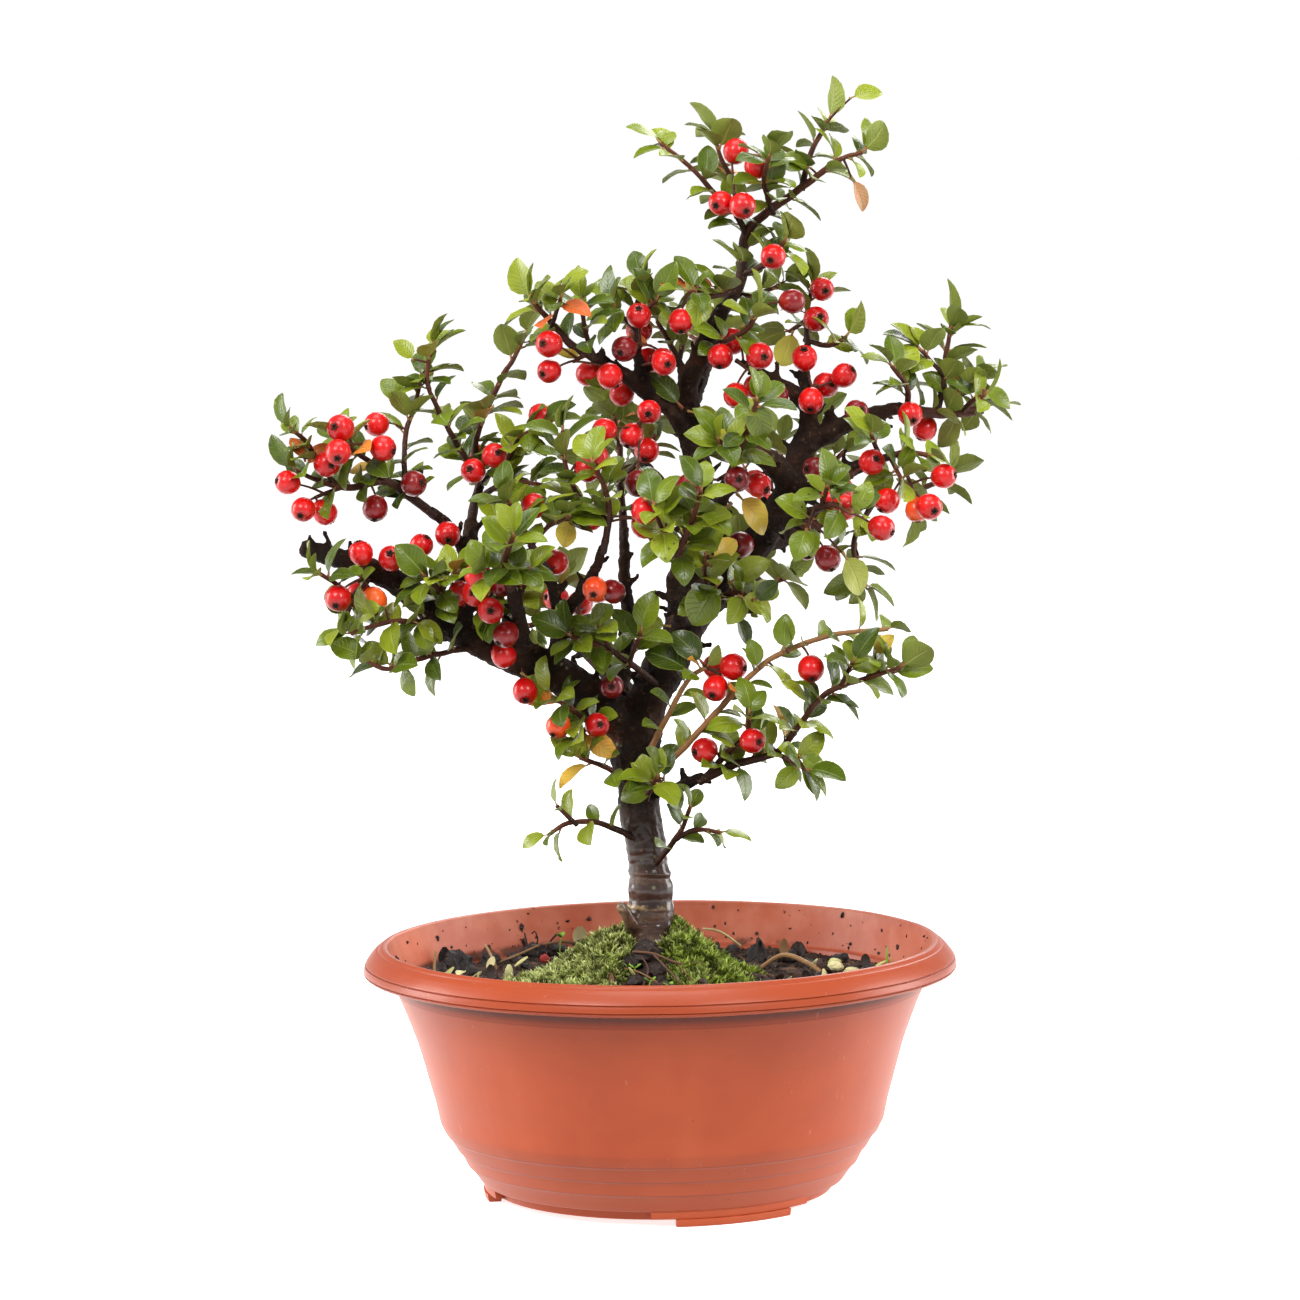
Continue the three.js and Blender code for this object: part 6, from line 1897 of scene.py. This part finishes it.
litter = {
    "ramp": [(0.0, (20, 15, 13)), (0.15, (40, 28, 24)), (0.3, (78, 48, 38)), (0.45, (150, 112, 70)),
             (0.6, (206, 198, 146)), (0.75, (176, 178, 92)), (0.88, (120, 164, 50)), (1.0, (150, 40, 32))],
    "clods": [  # x, y, lift, half width, half height, tone
        (-69, 40, 1.5, 5.9, 5.6, 0.03), (-76, 34, 0.5, 3.2, 3.4, 0.1), (-59, 45, 1.0, 3.4, 3.2, 0.06),
        (-44, 62, 1.2, 4.4, 3.6, 0.08), (-36, 70, 1.0, 3.6, 3.2, 0.05), (-27, 74, 1.0, 3.4, 2.6, 0.1),
        (-50, 54, 0.6, 3.0, 2.4, 0.16), (-78, 24, 0.4, 2.4, 2.2, 0.1), (-62, 20, 0.6, 2.6, 2.2, 0.12),
        (62, 37, 0.8, 3.0, 2.2, 0.08), (71, 22, 0.8, 2.9, 2.4, 0.02), (44, 50, 1.0, 3.8, 3.2, 0.08),
        (33, 62, 0.8, 3.2, 2.6, 0.12), (54, 6, 0.6, 2.4, 2.0, 0.1), (12, -40, 0.6, 2.6, 2.2, 0.12),
        (3, -31, 0.8, 2.8, 2.4, 0.08), (-26, -52, 0.5, 2.6, 2.0, 0.12), (9, 80, 0.5, 2.4, 2.0, 0.1),
        (14, -29, 3.0, 2.3, 2.0, 0.2), (-4, -13, 3.0, 5.4, 4.6, 0.14), (3, -15, 1.6, 4.2, 3.8, 0.08),
        (-10, -16, 1.4, 4.0, 3.4, 0.12), (-2, -20, 1.2, 4.6, 3.0, 0.16), (5, -23, 0.8, 3.4, 2.4, 0.1),
        (-8, -26, 0.6, 3.6, 2.4, 0.14), (0, -30, 0.8, 3.2, 2.2, 0.2),
    ],
    "pebbles": [(60, 27, 0.6, 2.8, 1.9, 0.6), (65.5, 23, 0.4, 3.0, 1.7, 0.57), (60, 34, 0.5, 2.3, 1.3, 0.66),
                (-38, -64, 0.4, 2.0, 1.4, 0.58), (-40, 51, 0.7, 1.9, 1.8, 1.0)],
    "flakes": [  # x, y, lift, length, width, turn, rise, curl, tone
        (-75, 19, 0.5, 6.4, 4.0, 20, 18, 0.7, 0.68), (-69, 25, 0.8, 5.0, 3.6, 70, 26, -0.6, 0.62),
        (-65, 18, 0.5, 6.0, 4.6, -30, 14, 0.8, 0.64), (-50, 37, 1.6, 5.6, 4.0, 10, 20, 0.5, 0.66),
        (-59, 30, 0.8, 5.4, 3.2, 60, 26, 0.8, 0.56), (-54, 22, 0.6, 5.4, 4.4, 150, 40, 1.6, 0.26),
        (-74, 40, 0.8, 8.0, 4.6, 110, 62, 0.8, 0.06), (-28, 80, 1.0, 7.4, 5.4, 95, 68, 0.5, 0.55),
        (-33, 55, 1.6, 8.0, 3.6, 0, 12, 0.6, 0.32), (-62, 58, 0.8, 7.0, 4.8, 40, 40, 0.7, 0.28),
        (31, 45, 1.0, 8.4, 4.8, 40, 30, 0.8, 0.05), (37, 46, 1.6, 8.0, 5.0, 150, 36, 0.9, 0.08),
        (43, 46, 2.0, 6.4, 3.4, 100, 66, 0.6, 0.42), (47, 48, 1.2, 7.0, 6.0, 60, 40, 1.0, 0.16),
        (50, 34, 4.4, 9.4, 4.0, -30, -32, 0.2, 0.05), (54, 15, 1.0, 3.8, 3.0, 60, 50, 0.6, 0.72),
        (73, 27, 0.8, 5.0, 3.0, 10, 12, 0.5, 0.7), (80, 8, 0.8, 5.0, 2.6, 70, 10, 0.6, 0.66),
        (39, -5, 1.0, 5.4, 3.4, -60, 20, 0.9, 0.2), (-8, -24, 0.6, 4.6, 3.4, 200, 40, 0.6, 0.72),
        (-16, -28, 0.8, 5.0, 1.8, 100, 60, 0.6, 0.36), (-2, -40, 0.5, 6.0, 3.6, 30, 14, 0.7, 0.3),
        (78, 24, 0.4, 8.2, 1.5, 200, 74, 0.5, 0.86), (80.5, 22, 0.4, 5.0, 1.2, 170, 58, 0.4, 0.8),
    ],
    "stems": [  # radius, tone, then its points as x, y, lift
        (0.85, 0.44, [(35, 26, 1), (42, 22, 4.4), (50, 17, 3.6), (58, 12, 0.4)]),
        (0.5, 0.43, [(-77, 20, 0), (-77, 22, 4), (-76.5, 24, 8)]),
        (0.45, 0.46, [(-60, 38, 7.4), (-58, 35, 4.5), (-56, 33, 0.4)]),
        (0.42, 0.4, [(-57, 44, 0.6), (-50, 48, 3), (-42, 54, 5)]),
        (0.45, 0.38, [(-40, 62, 4.6), (-32, 61, 5.2), (-22, 60, 4)]),
        (0.4, 0.46, [(-30, 50, 1), (-25, 52, 3.5), (-20, 54, 6.4)]),
        (0.32, 0.12, [(-46, 66, 3), (-46.6, 67, 6.5), (-47.2, 68, 9.4)]),
        (0.28, 0.14, [(-44, 66, 3), (-42.6, 66, 7.6), (-43.6, 66.4, 10.2), (-44.6, 66, 9)]),
        (0.34, 0.1, [(-40, 66, 3), (-38, 67, 6), (-35.6, 68, 8.4)]),
        (0.42, 0.34, [(-9, -17, 6), (-2, -20, 8), (6, -21, 7), (14, -20, 6)]),
        (0.34, 0.32, [(-2, -20, 7.6), (3, -25, 5.4), (7, -30, 2.4)]),
        (0.3, 0.36, [(6, -21, 6.6), (9, -26, 5), (12, -29, 2)]),
        (0.3, 0.3, [(-6, -19, 5), (-4, -25, 4.4), (-6, -31, 2)]),
        (0.26, 0.4, [(-12, -22, 3), (-7, -26, 4), (-1, -30, 3)]),
        (0.5, 0.22, [(-12, -46, 0.6), (-4, -50, 1.4), (6, -49, 0.4)]),
        (0.4, 0.42, [(47, -46, 0.4), (53, -40, 1.8), (60, -36, 0.4)]),
        (0.36, 0.64, [(15, 42, 12), (21, 46, 10), (28, 52, 4.6)]),
        (0.34, 0.66, [(7, 40, 15), (11, 44, 11)]),
    ],
    "seedlings": [
        (-9, -24, 2.6), (-4, -29, 1.2), (2, -31, 0.8), (-35, 61, 5), (24, -49, 1.0), (-60, -40, 0.8),
    ],
    "scattered": 150, "wallSpecks": 130,
    "wallFoot": (88.3, 72.9), "wallTop": (91.4, 84.6),
}


def onSoil(x, y, lift):
    return Vector((x, y, soilSurface(x, y) + lift))


def underMoss(x, y):
    footX, footY = soil["trunkFoot"]
    degrees = math.degrees(math.atan2(y - footY, x - footX))
    if degrees < moss["from"]:
        degrees += 360
    away = math.hypot(x - footX, y - footY)
    return away < mossReach(degrees) * 1.05 and degrees < moss["to"] or away < 13


def lumpBody(middle, wide, high, number, jagged):
    body = bmesh.new()
    bmesh.ops.create_icosphere(body, subdivisions=3 if wide > 1.8 else 2, radius=1.0)
    corners = []
    for vertex in body.verts:
        ball = vertex.co
        swell = 1 + jagged * (0.34 * lumpy(ball, 1.1, number) + 0.2 * lumpy(ball, 2.6, number + 3))
        swell += jagged * 0.1 * lumpy(ball, 6.0, number)
        corners.append(middle + Vector((ball.x * wide, ball.y * wide * 0.85, ball.z * high)) * swell)
    faces = [[vertex.index for vertex in face.verts] for face in body.faces]
    body.free()
    return corners, faces


def flakeBody(spot, turn, rise, length, width, curl, thick=0.26):
    # a bent leaf or flake as a thin closed shell: turn about the upright, rise above the ground
    turn, rise = math.radians(turn), math.radians(rise)
    flat = Vector((math.cos(turn), math.sin(turn), 0))
    along = flat * math.cos(rise) + upward * math.sin(rise)
    face = upward * math.cos(rise) - flat * math.sin(rise)
    side = along.cross(face)
    rows, lanes = 6, (-1, -0.5, 0, 0.5, 1)
    top = []
    for k in range(rows + 1):
        share = k / rows
        bent = curl * share
        middle = spot + (along * math.sin(bent) + face * (1 - math.cos(bent))) * length / curl
        half = width * 0.5 * (0.08 + 0.92 * math.sin(math.pi * (0.04 + 0.92 * share)) ** 0.8)
        for lane in lanes:
            top.append(middle + side * lane * half + face * abs(lane) * half * 0.3)
    return top + [point - face * thick for point in top], slabFaces(rows, len(lanes))


def scatteredLitter(lumps, flakes, stems):
    # smaller pieces everywhere that the moss leaves bare
    for n in range(litter["scattered"]):
        turn = chance(n, 1, 7, 2) * math.tau
        reach = 14 + 68 * math.sqrt(chance(n, 2, 7, 2))
        x, y = reach * math.cos(turn), reach * math.sin(turn)
        if underMoss(x, y) or reach > 81:
            continue
        size, look, tone = chance(n, 3, 7, 2), chance(n, 4, 7, 2), chance(n, 5, 7, 2)
        if look < 0.5:
            wide = 0.9 + 1.8 * size * size
            lumps.append((lumpBody(onSoil(x, y, 0.3), wide, wide * 0.8, n, 1.2), tone * 0.2))
        elif look < 0.82:
            shade = 0.08 + 0.25 * tone if tone < 0.8 else 0.4 + tone * 0.25
            flakes.append((flakeBody(onSoil(x, y, 0.5), 360 * tone, 6 + 40 * size, 3 + 3.5 * size,
                                     2 + 1.8 * size, 0.3 + size), shade))
        else:
            end = onSoil(x + 7 * (size - 0.4), y + 8 * (tone - 0.5), 0.6)
            line = [(onSoil(x, y, 0.4), 0.3), ((onSoil(x, y, 1.2) + end) / 2, 0.34), (end, 0.26)]
            stems.append((tubeBody(line, 6), 0.15 + 0.3 * tone))


def makeLitter():
    lumps = []
    flakes = []
    stems = []
    for n, (x, y, lift, wide, high, tone) in enumerate(litter["clods"]):
        lumps.append((lumpBody(onSoil(x, y, lift), wide, high, n * 3, 1.4), tone))
    for n, (x, y, lift, wide, high, tone) in enumerate(litter["pebbles"]):
        lumps.append((lumpBody(onSoil(x, y, lift), wide, high, n * 3 + 50, 0.5), tone))
    for x, y, lift, length, width, turn, rise, curl, tone in litter["flakes"]:
        flakes.append((flakeBody(onSoil(x, y, lift), turn, rise, length, width, curl), tone))
    for radius, tone, points in litter["stems"]:
        line = smoothLine([onSoil(*point) for point in points], [radius] * len(points), 1.2)
        stems.append((tubeBody(line, 7), tone))
    for n, (x, y, lift) in enumerate(litter["seedlings"]):
        foot, top = onSoil(x, y, 0), onSoil(x + 0.6, y, lift + 1.4)
        stems.append((tubeBody([(foot, 0.3), (top, 0.26)], 6), 0.86))
        for side in (0, 180):
            flakes.append((flakeBody(top, 20 * n + side, 24, 2.5, 1.9, 0.5), 0.88))
    scatteredLitter(lumps, flakes, stems)
    (footReach, footHeight), (topReach, topHeight) = litter["wallFoot"], litter["wallTop"]
    for n in range(litter["wallSpecks"]):
        turn = chance(n, 8, 1, 3) * math.tau
        share = chance(n, 8, 2, 3) ** 1.6 * 0.96
        reach = footReach + (topReach - footReach) * share
        size = 0.22 + 0.62 * chance(n, 8, 3, 3) ** 4
        spot = onRing(reach, turn, footHeight + (topHeight - footHeight) * share)
        high = size * (0.6 + 1.9 * chance(n, 8, 4, 3) ** 2)
        lumps.append((lumpBody(spot, size, high, n, 2.0), 0.05 + 0.22 * chance(n, 8, 5, 3)))
    finish = litterFinish()
    for name, slotName, parts in (("litter_lumps", "soil", lumps), ("litter_leaves", "foliage", flakes),
                                  ("litter_stems", "bark", stems)):
        mesh = makeMesh(name, *joined([part for part, tone in parts]), smooth=name != "litter_lumps")
        writeValues(mesh, "tone", [tone for (corners, faces), tone in parts for corner in corners])
        if name != "litter_lumps":
            mesh.set_sharp_from_angle(angle=math.radians(50))
        finishPiece(makePiece(name, mesh, finish), slotName)


def litterFinish():
    def build(board):
        tone = board.attribute("tone")
        patch = board.cloud(240, 4, 0.65)
        fine = board.cloud(900, 3)
        body = board.ramp(tone, litter["ramp"])
        body = board.blend(patch.step(0.45, 0.7) * 0.4, body, board.blend(0.5, body, (34, 24, 20)))
        body = body.tint((fine.step(0.6, 0.75) * 0.3, 150, 124, 96))
        return {
            "base": body,
            "roughness": 0.5 + patch * 0.35,
            "normal": board.bump(fine + patch, 0.2),
        }
    return makeFinish("litterMix", build, specular=0.4)


# Stage: a plain pale floor, soft studio light and the eye that the picture was taken from

stage = {
    "floorHalf": 30.0, "floorTone": (232, 232, 232), "floorGlow": 0.76,
    "horizon": 1.02, "zenith": 0.34, "ground": 0.66, "band": (0.05, 0.2),
    "lights": [  # name, place, width, height, watts
        ("sideLeft", (-1.45, 0.25, 0.55), 0.7, 1.0, 22.0),
        ("sideRight", (1.45, 0.3, 0.5), 0.7, 1.0, 20.0),
        ("frontLeft", (-0.8, -1.3, 1.45), 0.7, 0.7, 27.0),
        ("frontRight", (0.85, -1.3, 1.3), 0.5, 0.8, 19.0),
        ("overhead", (0.0, -0.1, 1.6), 0.9, 0.9, 13.0),
        ("behind", (0.35, 1.6, 1.2), 0.9, 0.9, 14.0),
    ],
    "aim": (0.0, 0.0, 0.18),
    "lens": 148.7, "sensor": 36.0, "pitch": 5.74, "yaw": 0.06, "roll": -0.82,
}


def makeStage():
    half = stage["floorHalf"]
    mesh = bpy.data.meshes.new("floor")
    corners = [(-half, -half, 0), (half, -half, 0), (half, half, 0), (-half, half, 0)]
    mesh.from_pydata(corners, [], [[0, 1, 2, 3]])

    def build(board):
        return {"base": board.blend(board.cloud(3, 2), stage["floorTone"], (236, 236, 236))}
    floor = makePiece("floor", mesh, makeFinish(
        "floorPaper", build, roughness=0.9, specular=0.1, glow=(1, 1, 1, 1), glowStrength=stage["floorGlow"]))
    floor.visible_diffuse = False  # the light from below comes from the world alone
    world = bpy.data.worlds.new("studio")
    world.use_nodes = True
    board = Board(world.node_tree)
    climb = board.parts(board.places("Generated"), "Z")
    low, high = stage["band"]
    level = stage["horizon"] + climb.step(low, high) * (stage["zenith"] - stage["horizon"])
    level = level + climb.step(0.0, -high) * (stage["ground"] - stage["horizon"])
    board.feed(world.node_tree.nodes["Background"].inputs["Strength"], level)
    world.node_tree.nodes["Background"].inputs["Color"].default_value = (1, 1, 1, 1)
    bpy.context.scene.world = world
    for name, place, width, height, watts in stage["lights"]:
        data = bpy.data.lights.new(name, "AREA")
        data.shape = "RECTANGLE"
        data.size, data.size_y, data.energy = width, height, watts
        lamp = bpy.data.objects.new(name, data)
        lamp.location = place
        lamp.rotation_euler = (Vector(stage["aim"]) - Vector(place)).to_track_quat("-Z", "Y").to_euler()
        bpy.context.scene.collection.objects.link(lamp)
    data = bpy.data.cameras.new("eye")
    data.lens, data.sensor_width = stage["lens"], stage["sensor"]
    data.clip_start, data.clip_end = 0.01, 100.0
    camera = bpy.data.objects.new("eye", data)
    turn = Matrix.Rotation(math.radians(stage["yaw"]), 4, "Z")
    tilt = Matrix.Rotation(math.radians(90 - stage["pitch"]), 4, "X")
    roll = Matrix.Rotation(math.radians(stage["roll"]), 4, "Z")
    place = Matrix.Translation((0, -eye["distance"] * mm, eye["height"] * mm))
    camera.matrix_world = place @ turn @ tilt @ roll
    bpy.context.scene.collection.objects.link(camera)
    bpy.context.scene.camera = camera
    bpy.context.scene.view_settings.view_transform = "Standard"


makeBowl()
makeSoil()
makeMoss()
makeLitter()
makeTrunk()
sprays = sprayTree()
stemLook = twigFinish()
makeBerries(sprays, berryFinish(), stemLook)
makeFoliage(sprays, leafFinish(), stemLook)
makeStage()
